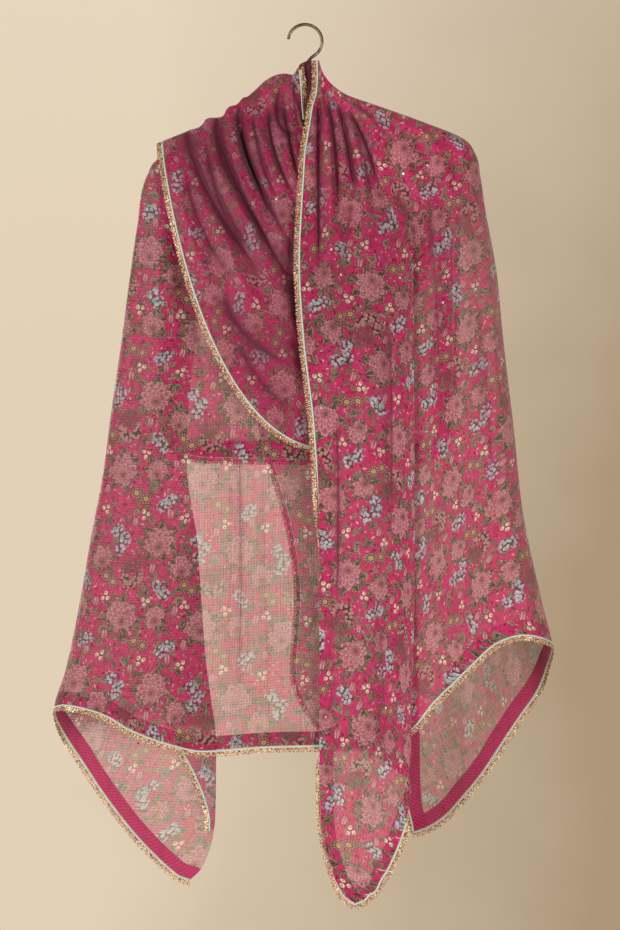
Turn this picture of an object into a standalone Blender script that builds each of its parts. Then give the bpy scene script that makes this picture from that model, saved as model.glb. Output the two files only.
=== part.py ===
"""Dupatta stole on a plain wooden hanger with a wire hook.

One long rectangle of printed sheer cloth is wound about a hanger: a cowl of
cross folds over both shoulders, a yoke across the back, a left wrap whose back
tail shows its reverse, and a right wrap that hangs from the hook with one pleat.
Every free edge carries a plain facing inside, a round piping and a fringe.

The model stands in its own frame, +Z up and -Y towards the front. The origin is
the crown of the hook, on the inside of the wire, where a rail carries it. Tables
are in millimetres: "drop" is the distance below the origin, and x is the distance
from the centre line, positive towards the wearer's left.
"""

import math

import bmesh
import bpy
import numpy as np

MM = 0.001

# ---------------------------------------------------------------- driving sizes

SEAM_GAP = 0.3
TRIM_GAP = 0.4
CLOTH_WALL = 1.2
FACING_WALL = 1.1
FACING_WIDTH = 19.0
PIPING_WIDTH = 2.8
PIPING_HEIGHT = 2.4
FRINGE_BACKING = 2.4
FRINGE_HEIGHT = 1.6
LOCK_LENGTH = 6.5
LOCK_TAPER = 0.62
LOCK_PITCH = 38.0
HEM_SLOPE_MOST = 2.0
SIDE_HEM_SLOPE = 0.6
MITRE_LEAST = 0.35

HOOK_WIRE = 4.5
HOOK_RADIUS = 23.8
HOOK_TIP_ANGLE = 172.0
HOOK_LOW_ANGLE = -58.0
STEM_X = 1.5
STEM_TOP = 57.0
STEM_FOOT = 116.0

HANGER_THICKNESS = 12.0
HANGER_NECK_DROP = 99.0
HANGER_NECK_HALF = 13.0
HANGER_TIP_X = 176.0
HANGER_TIP_DROP = 178.0
HANGER_TIP_HEIGHT = 20.0
HANGER_BASE_DROP = 134.0
HANGER_CROWN_RISE = 0.0
HANGER_EDGE_ROUND = 2.5

# ------------------------------------------------------------------ shape tables

# The right wrap, from its front edge round the side to its back edge.
RIGHT_COLUMNS = ("drop", "edge_x", "curl", "front_y", "tuck_x", "tuck", "side_x",
                 "back_y", "back_x")
RIGHT_SECTIONS = (
    (50, 18, 0, -13, 20, 0.00, 25, 11, 16),
    (64, 19, 0, -15, 21, 0.00, 27, 13, 16),
    (78, 19, 0, -18, 24, 0.00, 33, 15, 17),
    (90, 18, 0, -21, 28, 0.00, 46, 17, 19),
    (99, 17, 0, -23, 32, 0.00, 61, 18, 20),
    (112, 13, 0, -27, 42, 0.00, 98, 19, 25),
    (136, 9, 0, -34, 70, 0.00, 165, 22, 34),
    (161, 5, 0, -40, 95, 0.00, 224, 27, 45),
    (180, 2, 0, -45, 110, 0.00, 238, 30, 54),
    (213, 0, 0, -52, 126, 0.00, 245, 35, 68),
    (260, -3, 0, -59, 140, 0.02, 252, 41, 88),
    (336, -6, 0, -66, 150, 0.07, 266, 47, 108),
    (442, 0, 1, -68, 151, 0.10, 277, 50, 122),
    (560, 14, 3, -68, 151, 0.12, 291, 52, 130),
    (692, 19, 5, -68, 151, 0.14, 306, 53, 136),
    (806, 19, 7, -67, 149, 0.16, 331, 53, 139),
    (883, 20, 8, -66, 147, 0.17, 348, 52, 141),
    (979, 20, 8, -66, 144, 0.18, 350, 50, 143),
    (1091, 21, 8, -65, 143, 0.19, 350, 48, 146),
    (1130, 25, 8, -64, 143, 0.19, 350, 47, 154),
    (1165, 34, 7, -62, 143, 0.19, 350, 46, 158),
    (1195, 46, 6, -60, 143, 0.19, 350, 45, 158),
    (1212, 58, 5, -59, 143, 0.19, 350, 45, 158),
    (1220, 70, 5, -58, 143, 0.19, 350, 45, 158),
)

# The right wrap's hem, as shares of the front run and of the back run.
RIGHT_FRONT_HEM = (("share", "drop"), (
    (0.00, 1220), (0.177, 1207), (0.269, 1187), (0.293, 1160), (0.304, 1130),
    (0.312, 1100), (0.319, 1076), (0.345, 1030), (0.375, 998), (0.412, 979),
    (0.474, 942), (0.538, 914), (0.599, 888), (0.661, 864), (0.726, 851),
    (0.783, 847), (0.856, 851), (0.919, 857), (1.00, 864)))
RIGHT_BACK_HEM = (("share", "drop"), (
    (0.00, 1134), (0.122, 1123), (0.23, 1106), (0.331, 1081), (0.442, 1049),
    (0.533, 1016), (0.649, 974), (0.78, 930), (0.877, 893), (1.00, 864)))

# The left wrap: an inner fold, the front run, the side, and the back run.
LEFT_COLUMNS = ("drop", "inner_x", "fold_x", "front_y", "side_x", "back_y", "back_x")
LEFT_SECTIONS = (
    (114, -24, -9, -9, -47, 9, -14),
    (124, -20, -4, -9, -67, 9, -20),
    (136, -16, 2, -9.5, -92, 9.5, -28),
    (147, -12, 9, -10, -115, 10, -36),
    (158, -10, 18, -10.5, -137, 10.5, -45),
    (169, -12, 30, -11, -160, 11, -54),
    (179, -18, 42, -12, -191, 12, -62),
    (188, -24, 52, -13, -208, 13, -68),
    (207, -32, 66, -15, -220, 15, -78),
    (280, -54, 98, -19, -235, 19, -110),
    (349, -66, 114, -22, -245, 22, -134),
    (455, -68, 124, -26, -259, 26, -156),
    (559, -56, 128, -30, -274, 29, -166),
    (615, -42, 129, -32, -281, 31, -167),
    (717, -15, 130, -36, -300, 36, -153),
    (799, -6, 130, -39, -314, 40, -147),
    (904, -12, 130, -43, -336, 44, -139),
    (955, 8, 130, -45, -351, 46, -132),
    (1003, 44, 130, -46, -352, 46, -126),
    (1107, 60, 130, -46, -352, 45, -127),
    (1144, 60, 130, -46, -352, 44, -131),
    (1170, 60, 130, -46, -352, 43, -139),
    (1190, 60, 130, -46, -352, 42, -150),
    (1201, 60, 130, -46, -352, 41, -162),
)
LEFT_FRONT_HEM = (("share", "drop"), (
    (0.00, 1000), (0.217, 1002), (0.365, 1004), (0.465, 1008), (0.517, 1009),
    (0.594, 1001), (0.654, 991), (0.715, 977), (0.763, 962), (0.838, 949),
    (0.895, 946), (1.00, 955)))
LEFT_BACK_HEM = (("share", "drop"), (
    (0.00, 1201), (0.122, 1193), (0.28, 1169), (0.445, 1130), (0.602, 1077),
    (0.74, 1023), (0.883, 981), (1.00, 955)))
LEFT_INNER_HEM = (("share", "drop"), ((0.0, 995), (0.5, 998), (1.0, 1000)))

# The back tail's free edge, rolled forward over the tail.
ROLL_SECTIONS = (("drop", "width"), (
    (690, 4), (730, 22), (800, 42), (900, 57), (960, 61), (1005, 57), (1025, 43),
    (1058, 26), (1084, 15), (1107, 8), (1132, 5)))
ROLL_LIFT = 6.0

# The line where the cowl and the yoke meet, over both arms of the hanger.
RIDGE_COLUMNS = ("share", "left_x", "left_drop", "right_x", "right_drop")
RIDGE = (
    (0.00, -10, 58, 13, 67),
    (0.12, -30, 71, 29, 86),
    (0.25, -58, 83, 55, 107),
    (0.33, -78, 97, 78, 117),
    (0.42, -92, 107, 101, 123),
    (0.52, -112, 124, 124, 131),
    (0.62, -132, 132, 147, 141),
    (0.80, -163, 146, 182, 154),
    (1.00, -199, 161, 211, 172),
)

# The cowl's cross lines, from the neck (share 0) to the free lower edge (share 1).
COWL_COLUMNS = ("share", "left_pull", "low_x", "low_drop", "low_pull", "right_pull")
COWL_LINES = (
    (0.00, 34, 4, 168, 8, 30),
    (0.25, 60, 9, 318, 22, 60),
    (0.42, 80, 15, 398, 36, 80),
    (0.60, 92, 18, 466, 52, 96),
    (0.80, 112, 16, 536, 92, 110),
    (1.00, 130, 14, 589, 138, 118),
)
COWL_DEPTH = (("drop", "y"), (
    (55, -8), (80, -9), (100, -9.5), (114, -11.0), (126, -15.5), (150, -26), (180, -33), (220, -41),
    (260, -46), (320, -50), (420, -52), (500, -49), (600, -43)))
COWL_FULL_DEPTH = 50.0
COWL_FOLDS = (("share", "width", "depth", "lean"), (
    (0.14, 0.060, 6.0, 6.0),
    (0.33, 0.075, 7.5, 9.0),
    (0.53, 0.070, 7.5, 10.0),
    (0.72, 0.080, 6.0, 8.0),
    (0.90, 0.060, 3.0, 3.0)))
COWL_LEFT_LEAN = 0.13
COWL_LOW_DIP = 0.20
COWL_BELLY = 12

# The yoke hangs behind, from the ridge to a level hem with round corners.
YOKE_HEM = (("share", "x", "drop"), (
    (0.00, -197, 564), (0.03, -187, 586), (0.07, -172, 597), (0.12, -152, 602),
    (0.25, -106, 604), (0.50, 5, 605), (0.75, 118, 604), (0.88, 170, 602),
    (0.93, 188, 597), (0.97, 200, 586), (1.00, 207, 564)))
YOKE_DEPTH = (("drop", "y"), (
    (58, 5.5), (100, 14), (160, 20), (200, 25), (300, 32), (450, 38), (605, 42)))

# Hanging folds, as ridges that stand towards the front or, on a back run, behind.
FOLD_COLUMNS = ("top_share", "low_share", "start", "end", "width", "depth")
RIGHT_FRONT_FOLDS = (
    (0.11, 0.10, 60, 640, 0.040, 6.0),
    (0.24, 0.22, 70, 1180, 0.045, 7.0),
    (0.48, 0.50, 80, 800, 0.050, 6.0),
    (0.66, 0.67, 100, 620, 0.050, 6.0),
    (0.82, 0.80, 130, 820, 0.050, 5.0),
)
RIGHT_BACK_FOLDS = (
    (0.20, 0.22, 80, 1080, 0.060, 6.0),
    (0.42, 0.46, 90, 1000, 0.060, 6.0),
    (0.66, 0.68, 110, 960, 0.060, 6.0),
)
LEFT_FRONT_FOLDS = (
    (0.40, 0.475, 560, 990, 0.030, 2.5),
    (0.60, 0.62, 200, 980, 0.050, 4.0),
    (0.80, 0.78, 170, 940, 0.050, 5.0),
)
LEFT_BACK_FOLDS = (
    (0.30, 0.34, 240, 1140, 0.070, 3.0),
    (0.66, 0.66, 200, 1060, 0.070, 4.0),
)
YOKE_FOLDS = (
    (0.25, 0.27, 150, 600, 0.050, 2.5),
    (0.42, 0.42, 90, 600, 0.045, 3.0),
    (0.58, 0.58, 90, 600, 0.045, 3.0),
)

RIDGE_SEAM_PULL = 0.8
RIGHT_TUCK_SHARE = 0.345
RIGHT_TUCK_HALF = 0.025
RIGHT_TUCK_SPACING = 5.0
RIGHT_SIDE_ROUND = 0.26
LEFT_SIDE_ROUND = 0.17
BACK_SIDE_ROUND = 0.30

# ----------------------------------------------------------- where the grids run

RIGHT_FRONT_SHARES = (0, 0.035, 0.075, 0.12, 0.165, 0.21, 0.25, 0.285, 0.308, 0.322,
                      0.336, 0.352, 0.366, 0.382, 0.41, 0.46, 0.52, 0.58, 0.64,
                      0.70, 0.76, 0.82, 0.88, 0.935, 0.975, 1)
RIGHT_BACK_SHARES = (0, 0.06, 0.14, 0.22, 0.31, 0.40, 0.49, 0.58, 0.67, 0.76, 0.85,
                     0.93, 1)
PLEAT_TRIM_ENDS = 0.308
PLEAT_TRIM_STARTS = 0.41

# Where each facing lies: its side of the cloth's own normals, and the first and last
# points of its run, clear of the folds and of the ridge.
FACINGS = (("place", "side", "first", "last"), (
    ("right_front", 1, None, None),
    ("right_back", 1, None, None),
    ("left_hem", -1, 1, None),
    ("cowl", -1, 3, -3),
    ("yoke", -1, 1, -1)))
PLAIN_FRINGES = ("left_inner",)
LEFT_FRONT_SHARES = (0, 0.09, 0.18, 0.27, 0.35, 0.43, 0.475, 0.52, 0.57, 0.62, 0.67,
                     0.72, 0.78, 0.84, 0.90, 0.95, 0.98, 1)
LEFT_BACK_SHARES = (0, 0.08, 0.17, 0.27, 0.36, 0.46, 0.56, 0.66, 0.76, 0.86, 0.94, 1)
TALL_LEVELS = (0, 0.012, 0.026, 0.040, 0.054, 0.070, 0.088, 0.110, 0.138, 0.175,
               0.225, 0.29, 0.37, 0.46, 0.55, 0.64, 0.73, 0.82, 0.91, 1)
LEFT_LEVELS = (0, 0.014, 0.028, 0.043, 0.060, 0.080, 0.105, 0.145, 0.20, 0.28, 0.37,
               0.46, 0.55, 0.64, 0.73, 0.82, 0.91, 1)
COWL_ALONG = (0, 0.018, 0.045, 0.085, 0.14, 0.20, 0.27, 0.34, 0.41, 0.47, 0.53, 0.60,
              0.68, 0.77, 0.85, 0.91, 0.955, 0.985, 1)
COWL_ACROSS = (0, 0.08, 0.14, 0.20, 0.27, 0.33, 0.40, 0.47, 0.53, 0.60, 0.66, 0.72,
               0.79, 0.86, 0.92, 0.955, 1)
YOKE_SHARES = (0, 0.03, 0.07, 0.12, 0.17, 0.22, 0.28, 0.34, 0.40, 0.45, 0.50, 0.55, 0.60,
               0.66, 0.72, 0.78, 0.83, 0.88, 0.93, 0.97, 1)
INNER_SHARES = (0, 0.14, 0.4, 0.7, 0.88, 1)
ROLL_SHARES = (0, 0.25, 0.6, 1)
YOKE_LEVELS = (0.035, 0.06, 0.11, 0.20, 0.34, 0.50, 0.67, 0.84, 1)
INNER_LEVELS = (0, 0.08, 0.17, 0.27, 0.38, 0.50, 0.62, 0.74, 0.86, 0.93, 1)
ROLL_LEVELS = (0, 0.12, 0.28, 0.45, 0.58, 0.70, 0.78, 0.86, 0.93, 1)

# -------------------------------------------------------------------- materials

MATERIALS = {
    "cloth": ((0.50, 0.045, 0.13), 0.75, 0.0),
    "facing": ((0.34, 0.012, 0.075), 0.80, 0.0),
    "piping": ((0.48, 0.60, 0.49), 0.60, 0.0),
    "fringe": ((0.44, 0.26, 0.13), 0.45, 0.3),
    "wood": ((0.30, 0.17, 0.08), 0.50, 0.0),
    "hook": ((0.16, 0.12, 0.07), 0.40, 1.0),
}


def material(name):
    """One plain principled material, made once and shared."""
    found = bpy.data.materials.get(name)
    if found is not None:
        return found
    colour, roughness, metallic = MATERIALS[name]
    made = bpy.data.materials.new(name)
    made.use_nodes = True
    shader = made.node_tree.nodes["Principled BSDF"]
    shader.inputs["Base Color"].default_value = (*colour, 1.0)
    shader.inputs["Roughness"].default_value = roughness
    shader.inputs["Metallic"].default_value = metallic
    made.diffuse_color = (*colour, 1.0)
    return made


# ------------------------------------------------------------- tables and curves

def column(columns, rows, name, at, key=None):
    """A named column read smoothly at any key, held level past its ends.

    Between two rows the curve is a cubic whose end slopes are the mean slopes of
    the neighbouring stretches, set to zero where the column turns.
    """
    table = np.array(rows, dtype=float)
    x = table[:, columns.index(key or columns[0])]
    y = table[:, columns.index(name)]
    step = np.diff(x)
    slope = np.diff(y) / step
    mean = (slope[:-1] * step[1:] + slope[1:] * step[:-1]) / (step[:-1] + step[1:])
    turning = slope[:-1] * slope[1:] <= 0
    limit = 3 * np.minimum(np.abs(slope[:-1]), np.abs(slope[1:]))
    inner = np.where(turning, 0.0, np.clip(mean, -limit, limit))
    tangent = np.concatenate(([slope[0]], inner, [slope[-1]]))
    at = np.clip(np.asarray(at, dtype=float), x[0], x[-1])
    i = np.clip(np.searchsorted(x, at, side="right") - 1, 0, len(x) - 2)
    h = step[i]
    t = (at - x[i]) / h
    return (y[i] * (1 + 2 * t) * (1 - t) ** 2 + y[i + 1] * t * t * (3 - 2 * t)
            + h * tangent[i] * t * (1 - t) ** 2 + h * tangent[i + 1] * t * t * (t - 1))


def smooth_step(t):
    """Rises from 0 to 1 with level ends."""
    t = np.clip(t, 0.0, 1.0)
    return t * t * (3 - 2 * t)


def round_over(share, rounding):
    """How far a run has gone towards its side, and how much depth it still has.

    The run is straight until the last part of its share, then bends round as a
    quarter of an oval. The first value goes from 0 to 1, the second from 1 to 0.
    """
    left = 1.0 - share
    bend = 1.0 / (2 * rounding - rounding ** 2)
    straight = share * 2.0 / (2.0 - rounding)
    along = np.where(left < rounding, 1 - bend * left * left, straight)
    depth = np.sin(0.5 * np.pi * np.clip(left / rounding, 0, 1))
    return along, depth


def fold_relief(folds, share, drop):
    """The height of the hanging folds, each a smooth ridge that fades at its ends."""
    relief = np.zeros_like(share)
    for top_share, low_share, start, end, width, depth in folds:
        along = np.clip((drop - start) / (end - start), 0, 1)
        centre = top_share + (low_share - top_share) * along
        ends = smooth_step((drop - start) / 60) * smooth_step((end - drop) / 90)
        relief += depth * ends * np.exp(-((share - centre) / width) ** 2)
    return relief


# ------------------------------------------------------------- stretches of cloth

def right_value(name, drop):
    return column(RIGHT_COLUMNS, RIGHT_SECTIONS, name, drop)


def left_value(name, drop):
    return column(LEFT_COLUMNS, LEFT_SECTIONS, name, drop)


def right_front(share, level):
    """From the front edge to the side: a level slice, one pleat, a round side."""
    top = RIGHT_SECTIONS[0][0]
    hem = column(*RIGHT_FRONT_HEM, "drop", share)
    drop = top + level * (hem - top)
    edge_x = right_value("edge_x", drop)
    side_x = right_value("side_x", drop)
    front_y = right_value("front_y", drop)
    mid_y = 0.5 * (front_y + right_value("back_y", drop))
    tuck = right_value("tuck", drop)
    run = (side_x - edge_x) * 2.0 / (2.0 - RIGHT_SIDE_ROUND)
    crest = (right_value("tuck_x", drop) - edge_x) / run
    middle = crest + RIGHT_TUCK_HALF - 0.5 * tuck
    middle = RIGHT_TUCK_SHARE + (middle - RIGHT_TUCK_SHARE) * smooth_step((drop - 150) / 150)
    inside = share * middle / RIGHT_TUCK_SHARE
    outside = 1 - (1 - share) * (1 - middle) / (1 - RIGHT_TUCK_SHARE)
    s = (share - RIGHT_TUCK_SHARE) / RIGHT_TUCK_HALF
    double_back = -s * np.exp(0.5 * (1 - s * s))
    gone = np.where(s < 0, inside, outside) + 0.5 * tuck * double_back
    along, depth = round_over(gone, RIGHT_SIDE_ROUND)
    behind = smooth_step(tuck / 0.05) * RIGHT_TUCK_SPACING * (1 + np.tanh(0.6 * s))
    behind = behind * (1 - smooth_step((share - 0.45) / 0.4))
    x = edge_x + (side_x - edge_x) * along
    y = mid_y + (front_y - mid_y) * depth + behind
    y = y + right_value("curl", drop) * np.exp(-(share / 0.07) ** 2)
    y = y - fold_relief(RIGHT_FRONT_FOLDS, share, drop) * depth
    return x, y, drop


def right_back(share, level):
    """From the back edge (share 0) to the side (share 1), behind the yoke."""
    top = RIGHT_SECTIONS[0][0]
    hem = column(*RIGHT_BACK_HEM, "drop", share)
    drop = top + level * (hem - top)
    back_x = right_value("back_x", drop)
    side_x = right_value("side_x", drop)
    back_y = right_value("back_y", drop)
    mid_y = 0.5 * (right_value("front_y", drop) + back_y)
    along, depth = round_over(share, BACK_SIDE_ROUND)
    x = back_x + (side_x - back_x) * along
    y = mid_y + (back_y - mid_y) * depth
    y = y + fold_relief(RIGHT_BACK_FOLDS, share, drop) * depth
    return x, y, drop


def left_front(share, level):
    """From the hidden right-hand fold (share 0) to the left side (share 1)."""
    top = LEFT_SECTIONS[0][0]
    hem = column(*LEFT_FRONT_HEM, "drop", share)
    drop = top + level * (hem - top)
    fold_x = left_value("fold_x", drop)
    side_x = left_value("side_x", drop)
    front_y = left_value("front_y", drop)
    mid_y = 0.5 * (front_y + left_value("back_y", drop))
    along, depth = round_over(share, LEFT_SIDE_ROUND)
    x = fold_x + (side_x - fold_x) * along
    y = mid_y + (front_y - mid_y) * depth
    y = y + 3.0 * np.exp(-(share / 0.02) ** 2) * smooth_step((drop - 150) / 80)
    y = y - fold_relief(LEFT_FRONT_FOLDS, share, drop) * depth
    return x, y, drop


def left_back(share, level):
    """From the tail's inner boundary (share 0) to the left side (share 1)."""
    top = LEFT_SECTIONS[0][0]
    hem = column(*LEFT_BACK_HEM, "drop", share)
    drop = top + level * (hem - top)
    back_x = left_value("back_x", drop)
    side_x = left_value("side_x", drop)
    back_y = left_value("back_y", drop)
    mid_y = 0.5 * (left_value("front_y", drop) + back_y)
    along, depth = round_over(share, BACK_SIDE_ROUND)
    x = back_x + (side_x - back_x) * along
    y = mid_y + (back_y - mid_y) * depth
    y = y + fold_relief(LEFT_BACK_FOLDS, share, drop) * depth
    return x, y, drop


def left_inner(share, level):
    """The cloth folded in behind the front, from its free edge to the fold."""
    top = LEFT_SECTIONS[5][0]
    hem = column(*LEFT_INNER_HEM, "drop", share)
    drop = top + level * (hem - top)
    inner_x = left_value("inner_x", drop)
    fold_x = left_value("fold_x", drop)
    x = inner_x + (fold_x - inner_x) * share
    near = 0.6 + 1.9 * smooth_step((940 - drop) / 60)
    y = left_value("front_y", drop) + 7.0 - near * np.exp(-((1 - share) / 0.06) ** 2)
    return x, y, drop


def left_roll(share, level):
    """The tail's edge rolled forward: from the boundary (share 0) to the edge."""
    first = ROLL_SECTIONS[1][0][0]
    last = ROLL_SECTIONS[1][-1][0]
    drop = first + level * (last - first) + 0 * share
    width = column(*ROLL_SECTIONS, "width", drop)
    x = left_value("back_x", drop) - width * share
    y = left_value("back_y", drop) - ROLL_LIFT * (1 - 0.62 * np.exp(-width * share / 5))
    return x, y, drop


def ridge(share, side):
    """A point of the line over the hanger's arms, for one side."""
    x = column(RIDGE_COLUMNS, RIDGE, side + "_x", share)
    drop = column(RIDGE_COLUMNS, RIDGE, side + "_drop", share)
    return x, drop


def cubic(a, b, c, d, t):
    """A curve from a to d that leaves towards b and arrives from c."""
    r = 1 - t
    return a * r ** 3 + 3 * b * r * r * t + 3 * c * r * t * t + d * t ** 3


def cowl(along, across):
    """Cross lines hung from the left arm to the right arm, each with a low point."""
    lean = np.zeros_like(across)
    relief = np.zeros_like(across)
    for share, width, depth, drop_by in COWL_FOLDS[1]:
        bump = np.exp(-((across - share) / width) ** 2)
        relief += depth * bump
        lean += drop_by * bump
    value = {name: column(COWL_COLUMNS, COWL_LINES, name, across)
             for name in COWL_COLUMNS[1:]}
    left_x, left_drop = ridge(across, "left")
    right_x, right_drop = ridge(across, "right")
    low_x = value["low_x"]
    low_drop = value["low_drop"]
    t = np.clip(2 * along, 0, 1)
    x_left = cubic(left_x, left_x + COWL_LEFT_LEAN * value["left_pull"],
                   low_x - value["low_pull"], low_x, t)
    drop_left = cubic(left_drop, left_drop + value["left_pull"],
                      low_drop - COWL_LOW_DIP * value["low_pull"], low_drop, t)
    t = np.clip(2 * along - 1, 0, 1)
    x_right = cubic(low_x, low_x + 0.42 * value["low_pull"], right_x - 0.06 * value["right_pull"],
                    right_x, t)
    drop_right = cubic(low_drop, low_drop - 0.03 * value["low_pull"],
                       right_drop + 0.85 * value["right_pull"], right_drop, t)
    x = np.where(along < 0.5, x_left, x_right)
    drop = np.where(along < 0.5, drop_left, drop_right)
    belly = 1 - np.abs(2 * along - 1) ** COWL_BELLY
    fade = smooth_step(along / 0.10) * smooth_step((1 - along) / 0.10)
    drop = drop + lean * fade
    depth = column(*COWL_DEPTH, "y", drop)
    y = depth * belly + relief * fade * depth / COWL_FULL_DEPTH
    return x, y, drop


def yoke(share, level):
    """Hangs from the ridge line (level 0) to the hem (level 1), behind."""
    left_x, left_drop = ridge(np.clip(1 - 2 * share, 0, 1), "left")
    right_x, right_drop = ridge(np.clip(2 * share - 1, 0, 1), "right")
    top_x = np.where(share < 0.5, left_x, right_x)
    top_drop = np.where(share < 0.5, left_drop, right_drop)
    hem_x = column(*YOKE_HEM, "x", share, "share")
    hem_drop = column(*YOKE_HEM, "drop", share, "share")
    x = top_x + (hem_x - top_x) * level
    drop = top_drop + (hem_drop - top_drop) * level
    back = column(*YOKE_DEPTH, "y", drop)
    fall = 1 - np.exp(-(drop - top_drop) / 9.0)
    near_neck = np.exp(-((top_x - 2) / 16.0) ** 2)
    y = back * np.maximum(fall, near_neck)
    y = y + fold_relief(YOKE_FOLDS, share, drop) * fall
    return x, y, drop


# ------------------------------------------------------------------ cloth grids

def unit(vectors):
    """The same directions with length one."""
    length = np.linalg.norm(vectors, axis=-1, keepdims=True)
    return vectors / np.maximum(length, 1e-12)


def points_of(shape, across, down):
    x, y, drop = shape(across, down)
    return np.stack((x, y, -drop), axis=-1) * MM


def grid_of(shape, shares, levels, hem=True):
    """Points of a stretch in metres, with rows down the cloth and columns across.

    The last row but one is set a facing's width above the hem, measured square
    to the hem's own slope, so that the facing can use it. At the side both runs take
    the same slope, and so meet point for point.
    """
    across, down = np.meshgrid(np.array(shares, float), np.array(levels, float))
    points = points_of(shape, across, down)
    if not hem:
        return points
    along = np.gradient(points[-1], axis=0)
    level_run = np.hypot(along[:, 0], along[:, 1])
    slope = np.minimum(np.abs(along[:, 2]) / np.maximum(level_run, 1e-9), HEM_SLOPE_MOST)
    slope[-1] = SIDE_HEM_SLOPE
    tall = np.linalg.norm(points[-1] - points[-2], axis=1) / (down[-1] - down[-2])
    inset = down[-1] - FACING_WIDTH * MM * np.hypot(1, slope) / tall
    down[-2] = np.maximum(inset, down[-3] + 0.3 * (down[-1] - down[-3]))
    return points_of(shape, across, down)


def open_seam(points, side, pull=0.5 * SEAM_GAP * MM):
    """Draws one border of a grid back, by half a seam gap unless told otherwise."""
    if side == "last":
        points[:, -1] += pull * unit(points[:, -2] - points[:, -1])
    elif side == "top":
        points[0] += pull * unit(points[1] - points[0])
    elif side == "bottom":
        points[-1] += pull * unit(points[-2] - points[-1])
    return points


def bisectors(points):
    """The direction of travel at each row, halfway between the steps that meet."""
    steps = unit(np.diff(points, axis=0))
    return np.concatenate((steps[:1], unit(steps[1:] + steps[:-1]), steps[-1:]))


def grid_normals(points):
    """Unit normals of a grid, from its rows and columns."""
    across = bisectors(points.swapaxes(0, 1)).swapaxes(0, 1)
    return unit(np.cross(across, bisectors(points)))


def linked(obj, collection):
    collection.objects.link(obj)
    return obj


def grid_mesh(name, points):
    """A Blender grid whose points are moved onto the given rows and columns."""
    rows, columns = points.shape[:2]
    bm = bmesh.new()
    bmesh.ops.create_grid(bm, x_segments=columns - 1, y_segments=rows - 1, size=1.0)
    for vert in bm.verts:
        i = round((vert.co.x + 1) / 2 * (columns - 1))
        j = round((vert.co.y + 1) / 2 * (rows - 1))
        vert.co = points[j, i]
    mesh = bpy.data.meshes.new(name)
    bm.to_mesh(mesh)
    bm.free()
    return mesh


def cloth_wall(name, points, collection, finish="cloth", wall=CLOTH_WALL):
    """A stretch of cloth: an open grid given its thickness about the middle."""
    obj = linked(bpy.data.objects.new(name, grid_mesh(name, points)), collection)
    obj.data.materials.append(material(finish))
    thicken = obj.modifiers.new("wall", "SOLIDIFY")
    thicken.thickness = wall * MM
    thicken.offset = 0.0
    obj.data.shade_smooth()
    return obj


# --------------------------------------------------------------------- trims

class Border:
    """A run of cloth edge: its points, the next points in, and their normals."""

    def __init__(self, edge, inner, edge_normal, inner_normal):
        self.edge = edge
        self.inner = inner
        self.edge_normal = edge_normal
        self.inner_normal = inner_normal

    def turned(self):
        return Border(self.edge[::-1], self.inner[::-1],
                      self.edge_normal[::-1], self.inner_normal[::-1])

    def then(self, other, corner=None):
        """This run followed by another that starts where this one ends.

        At a corner of the cloth the shared point looks in along the diagonal.
        """
        inner = self.inner.copy()
        edge_normal = self.edge_normal.copy()
        inner_normal = self.inner_normal.copy()
        same_face = np.dot(self.edge_normal[-1], other.edge_normal[0]) > 0
        flip = 1 if same_face else -1
        if corner is not None:
            inner[-1] = corner
        else:
            for mine, theirs in ((edge_normal, other.edge_normal),
                                 (inner_normal, other.inner_normal)):
                meet = unit(mine[-1] + flip * theirs[0])
                mine[-1] = meet / max(np.dot(meet, mine[-1]), MITRE_LEAST)
        return Border(np.concatenate((self.edge, other.edge[1:])),
                      np.concatenate((inner, other.inner[1:])),
                      np.concatenate((edge_normal, flip * other.edge_normal[1:])),
                      np.concatenate((inner_normal, flip * other.inner_normal[1:])))

    def part(self, first, last):
        cut = slice(first, last)
        return Border(self.edge[cut], self.inner[cut],
                      self.edge_normal[cut], self.inner_normal[cut])

    def frames(self):
        """Outward directions, mitred where the edge turns, and upright ones."""
        steps = unit(np.diff(self.edge, axis=0))
        tangent = bisectors(self.edge)
        inward = unit(self.inner - self.edge)
        inward = inward - tangent * np.sum(inward * tangent, axis=1, keepdims=True)
        inward = unit(inward)
        upright = unit(np.cross(tangent, inward))
        flip = np.where(np.sum(upright * self.edge_normal, axis=1, keepdims=True) < 0, -1, 1)
        turn = np.ones(len(self.edge))
        turn[1:-1] = np.sum(steps[1:] * steps[:-1], axis=1)
        mitre = 1 / np.sqrt(np.clip((1 + turn) / 2, MITRE_LEAST, 1))
        return -inward * mitre[:, None], upright * flip


def border(points, side):
    """The border of a grid on one side, its first point at the top or the left."""
    normal = grid_normals(points)
    cuts = {
        "first": (np.s_[:, 0], np.s_[:, 1]),
        "last": (np.s_[:, -1], np.s_[:, -2]),
        "hem": (np.s_[-1], np.s_[-2]),
    }
    edge, inner = cuts[side]
    return Border(points[edge], points[inner], normal[edge], normal[inner])


def facing(name, run, side, collection):
    """A flat band on the reverse, from the cloth's own points moved off it."""
    away = side * (0.5 * CLOTH_WALL + TRIM_GAP + 0.5 * FACING_WALL) * MM
    band = np.stack((run.edge + away * run.edge_normal,
                     run.inner + away * run.inner_normal), axis=0)
    return cloth_wall(name, band, collection, "facing", FACING_WALL)


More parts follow.
